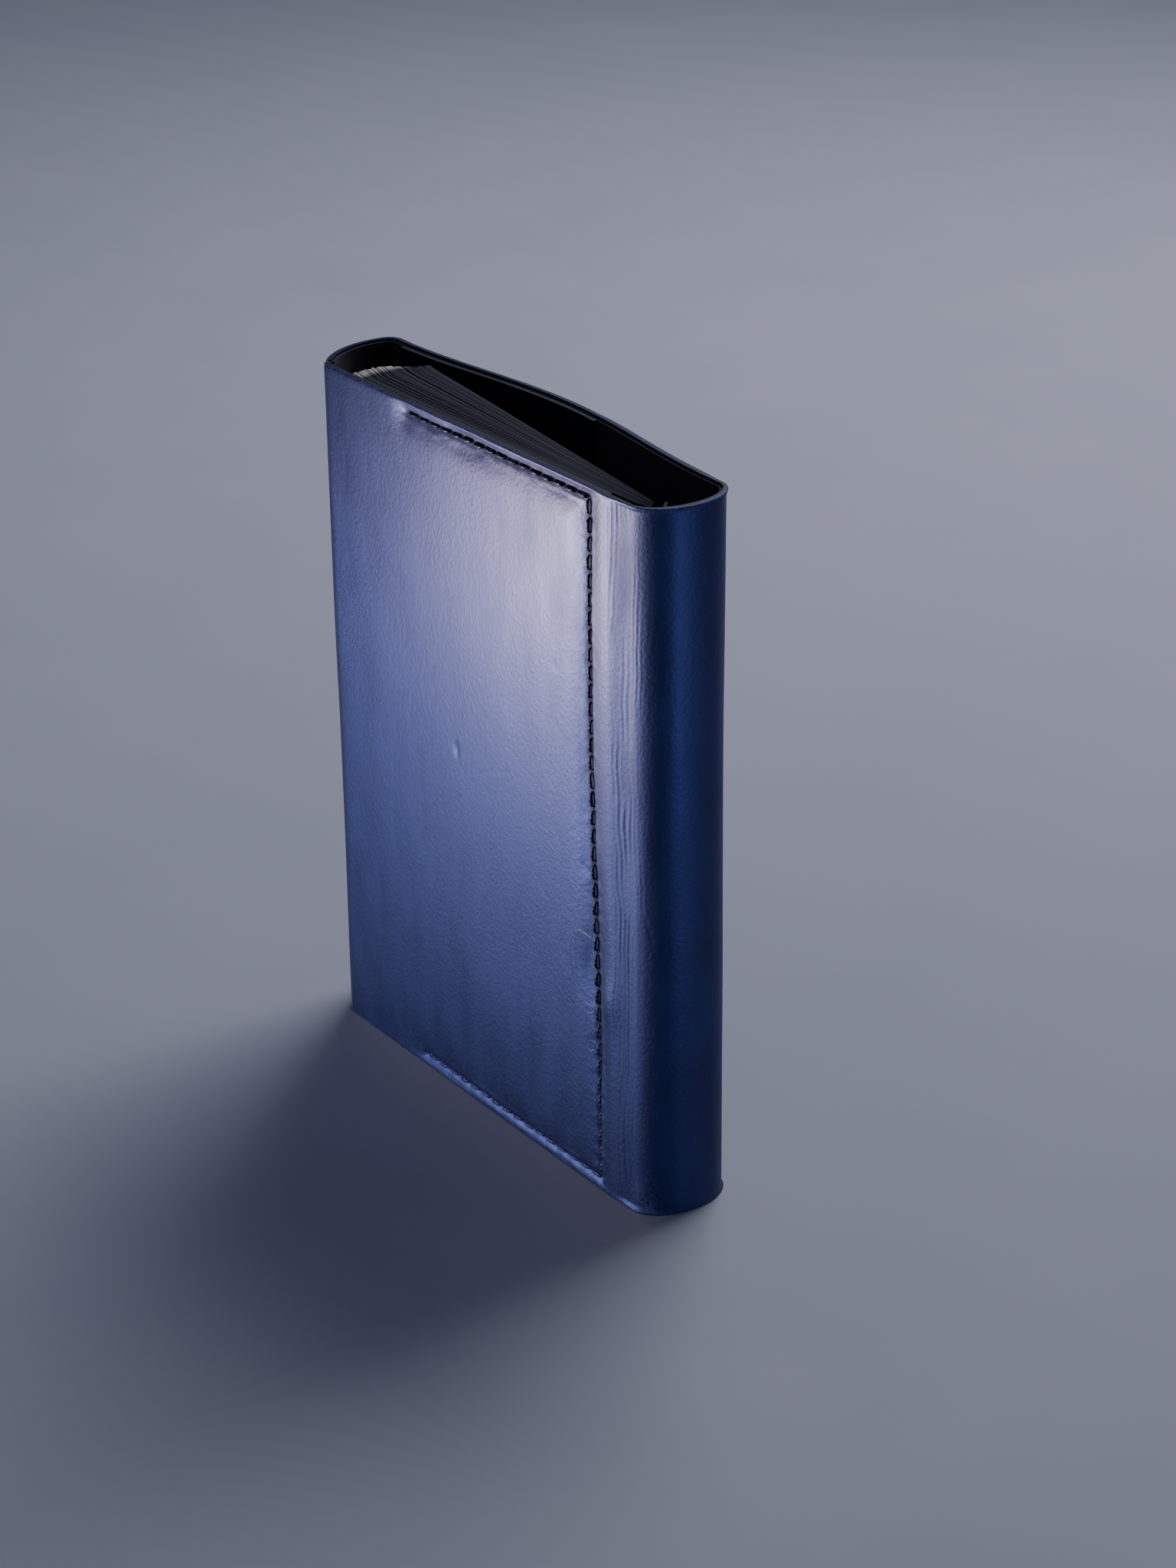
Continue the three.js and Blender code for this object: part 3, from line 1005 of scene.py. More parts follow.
@dataclass
class Relief:
    """The hand-made unevenness of the cover's outer face, in millimetres outwards.

    It adds slow waves, the pressed seam with its needle holes, the puckers beside them, the hinge
    creases where the covers bend into the spine with their fine upright wrinkles, and single marks.
    """

    outline: Outline
    front_seam: Seam
    back_seam: Seam
    wave: float = 0.2
    groove: float = 0.36
    groove_width: float = 0.42
    dip: float = 0.72
    dip_width: float = 2.3
    hole: float = 0.28
    hole_width: float = 0.5
    pucker: float = 0.1
    crease: float = 1.0
    crease_fall: tuple[float, float] = (6.4, 7.4)  # how far before the bend it begins, and its length
    crease_fill: tuple[float, float] = (1.0, 9.0)  # how far after the bend it fills again, and that length
    wrinkle: float = 0.085
    wrinkle_gap: float = 1.25
    hinge_shade_and_dulling: float = 0.22  # painted shade along the hinges, where flexing has also broken the wax and taken its shine

    def seam_relief(self, seam: Seam, s: np.ndarray, z: np.ndarray) -> np.ndarray:
        """A narrow groove for the thread in a broad dip, with the pull of the holes and short puckers.

        Formula: bells of the distance to the seam, wide and narrow, bells round the holes, and a ripple
        along the seam that fades with the distance.

        Args:
            seam: the seam.
            s: lengths along the leather.
            z: heights, of the same shape.

        Returns:
            The height outwards at each point.
        """
        d = seam.distance(s, z)
        pressed = self.groove * bell(d, self.groove_width) + self.hole * seam.pull(s, z, self.hole_width)
        footing = 0.3 + 0.7 * smooth(z / 40)  # the dip is shallow near the foot
        uneven = 1 + 0.25 * lattice_noise(s, z, (6, 9), 5)
        drawn = self.dip * footing * uneven * bell(d, self.dip_width)
        gathers = self.pucker * bell(d - 1.1, 0.9) * lattice_noise(s * 0.35, z, (1.0, 0.85), 6)
        return gathers - pressed - drawn

    def creases(self, s: np.ndarray, z: np.ndarray, bend: float, seed: int) -> tuple[np.ndarray, np.ndarray]:
        """The hinge crease at one bend, and its fine wrinkles that run upright, wander and die out.

        Formula: the crease falls by a quarter of a sine and fills again by a smooth step. The wrinkles
        are the sine of s over the wrinkle gap, after s is shifted by slow noise along z, with a second,
        finer set; both are masked by a bell across the bend and by patches along it.

        Args:
            s: lengths along the leather.
            z: heights, of the same shape.
            bend: where the cover starts to bend.
            seed: fixes the wander.

        Returns:
            The crease's dip and the wrinkles' height, both positive outwards.
        """
        across = s - bend
        fallen = np.clip((across + self.crease_fall[0]) / self.crease_fall[1], 0, 1)
        filled = smooth((across - self.crease_fill[0]) / self.crease_fill[1])
        dip = -self.crease * np.sin(0.5 * math.pi * fallen) ** 1.25 * (1 - filled)
        wander = 1.2 * lattice_noise(s * 0.3, z, (9, 15), seed) + 0.4 * lattice_noise(s, z, (4, 6), seed + 1)
        fine = smooth((75 - z) / 50)  # the wrinkles are finer towards the foot
        ridge = np.sin(2 * math.pi * (across + wander) / self.wrinkle_gap)
        small = np.sin(2 * math.pi * (across * 1.7 + 1.4 * wander) / self.wrinkle_gap + 1.1)
        patches = smooth(0.45 + 1.1 * lattice_noise(s, z, (1.7, 11), seed + 2))
        mask = bell(across + 2.0, 2.4) * patches
        return dip, self.wrinkle * mask * ((1 - 0.6 * fine) * ridge + (0.15 + 0.6 * fine) * small)

    def marks(self, s: np.ndarray, z: np.ndarray) -> np.ndarray:
        """Single marks: the seam's dimple with the bulge beside it, a nick, pits and a dented foot.

        Args:
            s: lengths along the leather.
            z: heights, of the same shape.

        Returns:
            The height outwards at each point.
        """
        spots = (  # u, z, height, width along s, width along z
            (3.2, 45.0, -0.6, 2.0, 4.0),
            (-3.0, 41.0, 0.45, 2.2, 3.4),
            (45.7, 74.6, -0.32, 0.5, 0.9),
            (3.1, 107.0, -0.22, 0.6, 0.7),
            (2.6, 113.5, -0.2, 0.6, 0.8),
            (8.2, 118.0, -0.14, 0.5, 0.6),
            (12.6, 103.0, -0.14, 0.5, 0.5),
            (4.6, 66.0, -0.2, 0.5, 0.8),
            (-11.5, 3.0, 0.22, 1.6, 2.4),
        )
        seam = self.outline[Mark.SEAM]
        return sum(h * bell(s - seam + u, ws) * bell(z - height, wz) for u, height, h, ws, wz in spots)

    def scratch(self, s: np.ndarray, z: np.ndarray) -> np.ndarray:
        """Fine bent scratches across the front, as bells round lines that bow by a sine.

        Args:
            s: lengths along the leather.
            z: heights, of the same shape.

        Returns:
            The strength of the nearest scratch, from 0 to 1.
        """
        seam = self.outline[Mark.SEAM]
        lines = (  # u and z of both ends, bow
            (40.0, 69.3, 27.1, 78.1, 0.8),
            (36.5, 70.4, 34.0, 68.2, 0.2),
            (19.5, 59.0, 16.0, 54.0, -0.3),
            (14.5, 72.0, 11.0, 67.0, 0.3),
            (12.5, 92.0, 8.0, 88.0, -0.6),
            (12.0, 48.0, 9.5, 42.0, 0.4),
            (-13.0, 61.5, -15.2, 56.5, 0.2),
        )
        total = np.zeros(np.shape(s))
        for u0, z0, u1, z1, bow in lines:
            a, b = np.array([seam - u0, z0]), np.array([seam - u1, z1])
            normal = np.array([a[1] - b[1], b[0] - a[0]]) / np.linalg.norm(b - a)
            _, t = line_distance(s, z, a, b)
            shift = bow * np.sin(math.pi * 1.5 * t)
            d, t = line_distance(s - shift * normal[0], z - shift * normal[1], a, b)
            total = np.maximum(total, bell(d, 0.25) * np.sin(math.pi * t) ** 0.5)
        return total

    def outwards(self, s: np.ndarray, z: np.ndarray) -> np.ndarray:
        """The relief without its rim fade: the sum of the waves, seams, creases and marks.

        Args:
            s: lengths along the leather.
            z: heights, of the same shape.

        Returns:
            The height outwards at each point.
        """
        front, back = self.outline[Mark.FRONT_BEND], self.outline[Mark.BACK_BEND]
        relief = self.wave * (lattice_noise(s, z, (30, 46), 3) + 0.3 * lattice_noise(s, z, (10, 22), 4))
        relief += self.seam_relief(self.front_seam, s, z) + self.seam_relief(self.back_seam, s, z)
        for across, bend, seed in ((s, front, 11), (front + back - s, front, 16)):
            relief += sum(self.creases(across, z, bend, seed))
        return relief + self.marks(s, z) - 0.06 * self.scratch(s, z)

    def wear_and_shade(self, s: np.ndarray, z: np.ndarray) -> np.ndarray:
        """Rubbing, above 0, at rims, crease ridges and the foot; below 0, painted shade in the seams' grooves
        and along the hinges, where the wax is also broken.

        Formula: the sum of falls away from the rims and tips, bells round the other places, and the
        wrinkles' ridges; the painted shade, a bell of the distance to a seam and round its holes, and the
        hinges' band, whichever is stronger, takes its place.

        Args:
            s: lengths along the leather.
            z: heights, of the same shape.

        Returns:
            The wear less the painted shade, from -1 to 1.
        """
        line = self.outline
        rim = np.minimum(z, line.plan.height - z)
        ends = np.minimum(s, line[Mark.FLAP_TIP] - s)
        rims = 0.55 * np.exp(-rim / 0.5) + 0.5 * np.exp(-ends / 0.6)
        total = rims + 0.3 * self.scratch(s, z) + 0.3 * bell(s - line[Mark.CORNER], 2.5)
        hinge_shade_and_dullness = 0 * total
        for across, seed in ((s, 11), (line[Mark.FRONT_BEND] + line[Mark.BACK_BEND] - s, 16)):
            hinge = across - line[Mark.FRONT_BEND]  # painted shade along the hinge, where flexing has also broken the wax
            hinge_shade_and_dullness += self.hinge_shade_and_dulling * smooth((hinge + 7.0) / 3) * (1 - smooth((hinge - 1) / 5))
            ridges = self.creases(across, z, line[Mark.FRONT_BEND], seed)[1]
            total += np.clip(ridges / self.wrinkle, 0, 1) * 0.3
        beside = s - line[Mark.SEAM]
        scuff = 1.6 * bell(beside - 12.4 + 0.12 * z, 2.0) * np.exp(-z / 6)
        total += scuff + 0.4 * bell(beside - 5, 3) * np.exp(-z / 2)
        # painted shade in the seams' grooves and round their needle holes, faded out at the foot
        near = np.minimum(self.front_seam.distance(s, z), self.back_seam.distance(s, z))
        holes = self.front_seam.pull(s, z, 0.45) + self.back_seam.pull(s, z, 0.45)
        painted_shade = np.maximum(np.clip(bell(near, 0.46) + 0.6 * holes, 0, 1) * smooth((z - 1) / 6), hinge_shade_and_dullness)
        return np.clip(total, 0, 1) * (1 - painted_shade) - painted_shade


class Length(Enum):
    """The three lengths that the leather and the lining are cut into; one fold crosses each."""

    FRONT = ("spine", "front_half")
    BACK = ("spine", "back_half")
    FLAP = ("back_half", "flap")

    def bend(self, piece: bpy.types.Object, line: Outline) -> None:
        """Works out both ends of the piece's fold, which nothing then uses, and bakes the piece's placement
        into its mesh.

        Args:
            piece: the leather or lining.
            line: the cover's outline.
        """
        front, back, corner = line[Mark.FRONT_BEND], line[Mark.BACK_BEND], line[Mark.CORNER]
        spans = {  # each starts on the still side of the fold and ends on the moving side
            Length.FRONT: (front + 5.5, front - 0.5),
            Length.BACK: (back - 5.5, back + 0.5),
            Length.FLAP: (corner - 0.5, corner + 5.0),
        }
        middle = 0.6  # depth of the middle of the leather
        start, end = (tuple(line.place(s, 0.0, middle) * MM) for s in spans[self])
        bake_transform(piece)


@dataclass
class CoverLeather:
    """The wrapped outer leather, cut where one piece can't follow every fold: at the middle of the
    spine and at the middle of the back."""

    outline: Outline
    relief: Relief
    thickness: float = 1.2
    rim_round: float = 0.3
    corner_round: tuple[float, float] = (4.6, 0.9)  # at the foot and at the top
    leather: SmoothLeather = SmoothLeather()
    edge: SealedEdge = SealedEdge()

    def heights(self) -> np.ndarray:
        """Sample heights: close together at both rims, even between them.

        Returns:
            The rising heights.
        """
        height, rim = self.outline.plan.height, self.rim_round
        low = np.array([0, 0.12, 0.4]) * rim
        inner = steps((rim, 4.6, 0.4), (4.6, height - 4.6, 0.66), (height - 4.6, height - rim, 0.4))
        return np.concatenate([low, inner, height - low[::-1]])

    def lengths(self, run: tuple[tuple[float, float, float], ...], tips: tuple[bool, bool]) -> np.ndarray:
        """Sample lengths for a piece, with a rounded rim at each free tip.

        Args:
            run: (start, end, spacing) stretches.
            tips: whether the first and the last end are free edges.

        Returns:
            The rising sample lengths.
        """
        rim, s = self.rim_round, steps(*run)
        if tips[0]:
            s = np.concatenate([s[0] + np.array([0, 0.12, 0.4]) * rim, s[s > s[0] + rim]])
        if tips[1]:
            s = np.concatenate([s[s < s[-1] - rim], s[-1] - np.array([0.4, 0.12, 0]) * rim])
        return s

    def rim_drop(self, distance: np.ndarray) -> np.ndarray:
        """How far a quarter-round rim falls below the face at a distance from the edge."""
        d = np.clip(distance, 0, self.rim_round)
        return self.rim_round - np.sqrt(self.rim_round**2 - (self.rim_round - d) ** 2)

    def grids(self, s_line: np.ndarray, tips: tuple[bool, bool]) -> tuple[np.ndarray, ...]:
        """Outer and inner grids of a piece, with its free corners rounded off.

        Formula: near a free tip, each row starts later by a quarter circle of the corner radius, and
        the shift fades out over a few radii. The outer face is lowered at rims by a quarter round.

        Args:
            s_line: sample lengths.
            tips: whether the first and the last end are free edges.

        Returns:
            Outer points, inner points, surface coordinates and wear, as grids.
        """
        plan = self.outline.plan
        s, z = np.meshgrid(s_line, self.heights(), indexing="ij")
        r = np.where(z < plan.height / 2, *self.corner_round)
        rim_z = np.minimum(z, plan.height - z)
        cut = r - np.sqrt(np.clip(r**2 - np.clip(r - rim_z, 0, r) ** 2, 0, None))
        free = np.full_like(s, np.inf)
        if tips[0]:
            s = s + cut * (1 - smooth((s - s_line[0]) / (4 * r)))
            free = np.minimum(free, s - s_line[0] - cut)
        if tips[1]:
            s = s - 0.5 * cut * (1 - smooth((s_line[-1] - s) / (4 * r)))
            free = np.minimum(free, s_line[-1] - 0.5 * cut - s)
        drop = np.minimum(self.rim_drop(rim_z) + self.rim_drop(free), 0.8 * self.thickness)
        fade = smooth(np.minimum(rim_z, free) / 1.2)
        lift = self.relief.outwards(s, z) * (0.35 + 0.65 * fade)
        outer = self.outline.place(s, z, np.minimum(drop - lift, 0.92 * self.thickness))
        inner = self.outline.place(s, z, self.thickness + 0 * s)
        return outer, inner, np.stack([s, z], axis=-1), self.relief.wear_and_shade(s, z)

    def build(self) -> None:
        """Makes the three lengths of leather and bakes each one's placement into its mesh."""
        line = self.outline
        materials = [self.leather.material(), self.edge.material()]
        seam, bend = line[Mark.SEAM], line[Mark.FRONT_BEND]
        middle, back = line[Mark.SPINE_MIDDLE], line[Mark.BACK_BEND]
        half, corner, end = line[Mark.BACK_MIDDLE], line[Mark.CORNER], line[Mark.FLAP_TIP]
        front_runs = (  # closest where the relief is finest: at the seam, the nick and the crease
            (0, 6, 0.45),
            (6, seam - 47, 0.9),
            (seam - 47, seam - 44.5, 0.4),
            (seam - 44.5, seam - 27, 0.6),
            (seam - 27, seam - 2.4, 0.7),
            (seam - 2.4, seam + 2.4, 0.3),
            (seam + 2.4, bend - 6.5, 0.4),
            (bend - 6.5, bend + 3, 0.2),
            (bend + 3, bend + 7, 0.35),
            (bend + 7, middle - 0.3, 0.6),
            (middle - 0.3, middle, 0.1),
        )
        back_runs = (
            (middle, middle + 0.3, 0.1),
            (middle + 0.3, back - 6, 0.6),
            (back - 6, back + 4, 0.35),
            (back + 4, half, 0.8),
        )
        flap_runs = ((half, corner - 10, 0.8), (corner - 10, corner + 6, 0.4), (corner + 6, end, 0.7))
        plan = (
            ("front_leather", Length.FRONT, front_runs, (True, False), ("front_cover", "spine_cover")),
            ("back_leather", Length.BACK, back_runs, (False, False), ("back_cover", "spine_cover")),
            ("flap_leather", Length.FLAP, flap_runs, (False, True), ("closing_flap", "back_cover")),
        )
        for name, length, runs, tips, nodes in plan:
            surface = Surface()
            surface.add_shell(*self.grids(self.lengths(runs, tips), tips), edge_slot=1)
            piece = surface.to_object(name, materials, 50)
            declare(piece, nodes)
            length.bend(piece, line)


@dataclass
class Lining:
    """The lining, one sheet glued inside the cover, cut at the same places as the leather."""

    outline: Outline
    depth: tuple[float, float] = (1.24, 1.8)
    inset: float = 0.5
    finish: SplitLining = SplitLining()

    def build(self) -> None:
        """Makes the three lengths of lining; the inner face ripples slightly with the nap."""
        line = self.outline
        height, material = line.plan.height, self.finish.material()
        middle, half = line[Mark.SPINE_MIDDLE], line[Mark.BACK_MIDDLE]
        bend, back, corner = line[Mark.FRONT_BEND], line[Mark.BACK_BEND], line[Mark.CORNER]
        end = line[Mark.FLAP_TIP] - self.inset
        front_runs = ((self.inset, 6, 0.6), (6, bend - 2, 1.6), (bend - 2, middle, 0.5))
        back_runs = ((middle, back + 2, 0.5), (back + 2, half, 1.6))
        flap_runs = ((half, corner - 3, 1.6), (corner - 3, end, 0.6))
        plan = (
            ("front_lining_sheet", Length.FRONT, front_runs, ("front_lining", "spine_lining")),
            ("back_lining_sheet", Length.BACK, back_runs, ("back_lining", "spine_lining")),
            ("flap_lining_sheet", Length.FLAP, flap_runs, ("flap_lining", "back_lining")),
        )
        for name, length, runs, nodes in plan:
            rows = steps((self.inset, height - self.inset, 2.0))
            s, z = np.meshgrid(steps(*runs), rows, indexing="ij")
            outer = line.place(s, z, self.depth[0])
            inner = line.place(s, z, self.depth[1] + 0.06 * lattice_noise(s, z, (5, 9), 21))
            surface = Surface()
            surface.add_shell(outer, inner, np.stack([s, z], axis=-1))
            piece = surface.to_object(name, [material], 40)
            declare(piece, nodes)
            length.bend(piece, line)


@dataclass
class PocketPanel:
    """A thin leather panel sewn inside a cover along a U, open at its fourth edge."""

    outline: Outline
    cover: str  # front or back
    seam: Seam
    span: tuple[float, float]
    depth: tuple[float, float] = (1.84, 2.6)
    inset: float = 0.5

    def build(self, materials: list[bpy.types.Material]) -> None:
        """Makes the panel, pressed along the seam.

        Args:
            materials: the leather and the cut edge.
        """
        line = self.outline
        height = line.plan.height
        low, high = self.inset, height - self.inset
        rows = steps((low, 4.0, 0.5), (4.0, height - 4.0, 1.2), (height - 4.0, high, 0.5))
        s, z = np.meshgrid(steps((*self.span, 0.9)), rows, indexing="ij")
        pressed = 0.22 * bell(self.seam.distance(s, z), 0.7) + 0.1 * self.seam.pull(s, z, 0.6)
        outer = line.place(s, z, self.depth[0])
        inner = line.place(s, z, self.depth[1] - pressed + 0.08 * lattice_noise(s, z, (8, 14), 31))
        rims = np.minimum(np.minimum(z - low, high - z), np.minimum(s - self.span[0], self.span[1] - s))
        surface = Surface()
        surface.add_shell(outer, inner, np.stack([s, z], axis=-1), 0.5 * np.exp(-rims / 0.5), edge_slot=1)
        piece = surface.to_object(f"{self.cover}_pocket_panel", materials, 40)
        declare(piece, (f"{self.cover}_pocket",))
        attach(piece, f"{self.cover}_half")


@dataclass
class Stitching:
    """The visible thread of both seams, outside and inside, and the fluff at one place of the front."""

    outline: Outline
    front_seam: Seam
    back_seam: Seam
    outer_depth: float = 0.62
    inner_depth: float = 2.4

    def build(self) -> None:
        """Lays the four rows of stitches and the fibres."""
        thread = WaxedThread().material()
        rows = (
            ("front", "stitches", self.front_seam, self.outer_depth, Side.OUTER, 71),
            ("front", "inside_stitches", self.front_seam, self.inner_depth, Side.INNER, 72),
            ("back", "stitches", self.back_seam, self.outer_depth, Side.OUTER, 73),
            ("back", "inside_stitches", self.back_seam, self.inner_depth, Side.INNER, 74),
        )
        for cover, name, seam, depth, side, seed in rows:
            row = StitchRow(seam, rise=0.12 if side is Side.OUTER else 0.05)
            piece = row.build(self.outline, depth, side, seed).to_object(f"{cover}_{name}", [thread], 60)
            declare(piece, (f"{cover}_seam_thread",))
            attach(piece, f"{cover}_half")
        self.fluff()

    def fluff(self) -> None:
        """Adds fine hairs that have come loose from the front seam.

        Formula: each hair passes smoothly through a few places (u, z, height above the leather), and
        thins towards its end.
        """
        hairs = (  # u, z and height of each hair's places
            (
                (1.9, 5.6, 7.8, 8.0, 7.4, 6.2, 3.6, 1.4),
                (52.6, 53.0, 50.0, 46.0, 42.0, 39.4, 38.6, 38.4),
                (0.1, 0.4, 0.5, 0.5, 0.4, 0.4, 0.4, 0.1),
            ),
            (
                (1.2, 2.9, 3.2, 2.2, 1.6, 2.6),
                (37.4, 36.4, 34.6, 33.8, 35.2, 36.6),
                (0.1, 0.6, 0.6, 0.4, 0.4, 0.4),
            ),
            ((1.0, 2.2, 2.9), (29.6, 28.9, 29.2), (0.1, 0.4, 0.5)),
        )
        surface = Surface()
        for knots in hairs:
            knots = np.array(knots).T
            count, share = 12 * len(knots), np.linspace(0, 1, len(knots))
            fine = np.linspace(0, 1, count)
            path = soften(np.stack([np.interp(fine, share, knots[:, k]) for k in range(3)], axis=-1), 8)
            points = self.outline.place(self.outline.front_s(path[:, 0]), path[:, 1], -path[:, 2])
            radius = 0.055 * (1 - 0.5 * fine)
            uv = np.zeros((1, count, SIDES, 2))
            uv[..., 0] = fine[None, :, None] * 20
            surface.add_tubes(tube(points, radius, np.array([0.1, 1.0, 0.05])), uv)
        piece = surface.to_object("front_seam_fluff", [FrayedFibre().material()], 60)
        declare(piece, ("front_seam_thread",))
        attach(piece, "front_half")


# --- the insert ------------------------------------------------------------------------------


@dataclass
class Insert:
    """The bound insert: bundles of thin sheets that fan from a slanted row of folds at the spine."""

    plan: Plan
    bundles: int = 9
    sheets: int = 7
    axis: tuple[float, float] = (-11.8, 4.6)  # (u, v) of the first bundle's fold
    pitch: float = 0.3
    angles: tuple[float, float] = (-1.0, 6.6)  # degrees, first and last bundle
    reach: tuple[float, float] = (95.8, 89.8)
    root: float = 0.2
    gap: float = 0.22
    sheet_mm: float = 0.21
    start: float = 1.3
    clearance: float = 3.0  # how much later the front bundle starts, to leave room for the hinge
    heights: tuple[float, float] = (1.2, 138.8)
    tape_width: float = 0.5
    tape_gap: float = 1.0  # distance of the tape's middle behind the folds
    tape_foot: tuple[tuple[float, float], ...] = ((-14.3, 8.2), (-14.35, 12.4))  # (u, v) along the lining
    stitch_gap: float = 1.75  # distance of the long stitches behind the folds
    stitch_rise: tuple[float, float, float] = (15.0, 126.0, 8.0)  # first, last and step of their middles
    stitch_half: float = 3.6

    def wave(self, r: np.ndarray, z: np.ndarray) -> np.ndarray:
        """How far the sheets bow sideways: little at the fold, more at the fore-edge."""
        share = (r / self.reach[0]) ** 2.2
        return share * (0.45 * lattice_noise(r, z, (30, 34), 41) + 0.14 * lattice_noise(r, z, (9, 11), 42))

    def bundle(self, index: int, paper: bpy.types.Material) -> bpy.types.Object:
        """Makes one bundle of sheets.

        Formula: each sheet runs straight out from its fold at its own angle; its place across the
        bundle grows evenly from the fold to the fore-edge, a slow wave moves all sheets alike, and the
        top corners by the fore-edge rise in a slow wave across the whole insert.

        Args:
            index: number of the bundle, from the front.
            paper: the paper's material.

        Returns:
            The bundle as one piece of separate closed sheets.
        """
        random = np.random.default_rng(500 + index)
        share = index / (self.bundles - 1)
        angle = math.radians(self.angles[0] + share * (self.angles[1] - self.angles[0]))
        reach = self.reach[0] + share * (self.reach[1] - self.reach[0])
        fan = math.radians((self.angles[1] - self.angles[0]) / (self.bundles - 1))
        tip = reach * fan + self.pitch - self.gap
        cos, sin = math.cos(angle), math.sin(angle)
        first = self.start if index else self.start + self.clearance
        surface = Surface()
        for k in range(self.sheets):
            middle = (k + 0.5) / self.sheets - 0.5
            place = (index + middle + 0.5) / self.bundles  # 0 at the front of the insert, 1 at its back
            length = reach - 0.5 - 0.4 * math.sin(9 * place) - abs(random.normal(0, 0.07))
            r, fraction = np.meshgrid(
                np.concatenate([np.linspace(first, length - 4, 30), length - np.array([3, 2, 1, 0.3, 0])]),
                np.linspace(0, 1, 22),
                indexing="ij",
            )
            crown = 0.75 * math.sin(math.pi * place) + 0.3 * math.sin(7 * place)
            rise = crown * smooth((r - length + 4) / 4)
            top = self.heights[1] - 0.15 + rise - abs(random.normal(0, 0.08))
            z = self.heights[0] + (top - self.heights[0]) * fraction
            spread = (r - self.start) / (reach - self.start)
            across = middle * (self.root + (tip - self.root) * spread) + place * self.wave(r, z)
            half = self.sheet_mm / 2 * np.clip(0.15 + 3 * spread, 0, 1)
            sides = []
            for side in (across + half, across - half):
                u = self.axis[0] + self.pitch * index + r * cos - side * sin
                v = self.axis[1] + self.pitch * index + r * sin + side * cos
                sides.append(np.concatenate([self.plan.at(u, v), z[..., None]], axis=-1))
            surface.add_shell(*sides, np.stack([sides[0][..., 0], z + 0.37 * k], axis=-1))
        return surface.to_object(f"sheets_{index + 1}", [paper], 40)

    def build(self) -> None:
        """Makes every bundle and lets it turn with its leaf, then the tape and its stitches."""
        paper = UncoatedPaper().material()
        for index in range(self.bundles):
            piece = self.bundle(index, paper)
            declare(piece, (f"leaf_{index + 1}",))
            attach(piece, f"leaf_{index + 1}")
        self.tape()
        self.tape_stitches()

    def behind(self, step: float, distance: float) -> np.ndarray:
        """A plan place beside the slanted row of folds, at a step along it and a distance behind it."""
        return self.plan.at(self.axis[0] + step - distance, self.axis[1] + step + distance)

    def tape(self) -> None:
        """Makes the woven tape: it slants behind the folds and then lies along the spine's lining.

        Formula: four plan places joined by lines, softened at the corners by repeated averaging, and
        carried upwards with a slight ripple.
        """
        last = self.pitch * (self.bundles - 1)
        slanted = [self.behind(last + 0.6, self.tape_gap), self.behind(-0.4, self.tape_gap)]
        corners = np.array(slanted + [self.plan.at(*place) for place in self.tape_foot])
        length = np.concatenate([[0], np.cumsum(np.linalg.norm(np.diff(corners, axis=0), axis=1))])
        t = np.linspace(0, length[-1], 40)
        path = soften(np.stack([np.interp(t, length, corners[:, k]) for k in (0, 1)], axis=-1), 3)
        along = directions(path)
        inward = np.stack([-along[:, 1], along[:, 0]], axis=-1)
        place, z = np.meshgrid(np.arange(40), np.linspace(*self.heights, 70), indexing="ij")
        ripple = 0.04 * lattice_noise(t[place], z, (1.5, 4), 61)
        sides = []
        for offset in (-self.tape_width / 2 + ripple, self.tape_width / 2 + ripple):
            face = path[place] + inward[place] * offset[..., None]
            sides.append(np.concatenate([face, z[..., None]], axis=-1))
        surface = Surface()
        surface.add_shell(*sides, np.stack([t[place], z], axis=-1))
        piece = surface.to_object("binding_tape", [WovenTape().material()], 40)
        declare(piece, ("insert_binding",))
        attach(piece, "spine")

    def tape_stitches(self) -> None:
        """Sews the insert to its tape with a row of long upright stitches.

        Formula: each stitch runs straight up and sinks towards the tape at both ends.
        """
        middle = self.behind(self.pitch * (self.bundles - 1) / 2, self.stitch_gap)
        way = self.behind(0, self.tape_gap) - self.behind(0, self.stitch_gap)
        inward = way / (self.stitch_gap - self.tape_gap)
        surface = Surface()
        t = np.linspace(-1, 1, 8)
        sink = 0.3 * np.abs(t) ** 4
        for z in np.arange(*self.stitch_rise):
            height = z + self.stitch_half * t
            path = np.concatenate([middle + inward * sink[:, None], height[:, None]], axis=1)
            uv = np.zeros((1, len(t), SIDES, 2))
            uv[..., 0] = height[None, :, None]
            uv[..., 1] = np.linspace(0, 1.6, SIDES)
            surface.add_tubes(tube(path, 0.3 - 0.12 * t**8, np.array([1.0, 0.3, 0.0])), uv)
        # the binding stitches take the same painted highlight low down
        piece = surface.to_object("binding_stitches", [WaxedThread("binding_thread_wax").material()], 60)
        declare(piece, ("binding_thread",))
        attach(piece, "spine")


# --- studio ----------------------------------------------------------------------------------


@dataclass(frozen=True)
class SoftLight:
    """A rectangular soft light that points at the wallet."""

    name: str
    place: tuple[float, float, float]
    size: tuple[float, float]
    watts: float
    colour: str
    target: tuple[float, float, float] = (0.0, 0.0, 0.07)
    shine_only: bool = False  # whether it makes highlights without lighting the floor

    def build(self) -> None:
        """Adds the light, which the camera doesn't see."""
        lamp = bpy.data.lights.new(self.name, "AREA")
        lamp.shape, lamp.size, lamp.size_y = "RECTANGLE", *self.size
        lamp.energy, lamp.color = self.watts, linear(self.colour)[:3]
        holder = bpy.data.objects.new(self.name, lamp)
        holder.location = self.place
        holder.rotation_euler = (Vector(self.target) - Vector(self.place)).to_track_quat("-Z", "Y").to_euler()
        holder.visible_camera = False
        holder.visible_diffuse = not self.shine_only
        bpy.context.scene.collection.objects.link(holder)


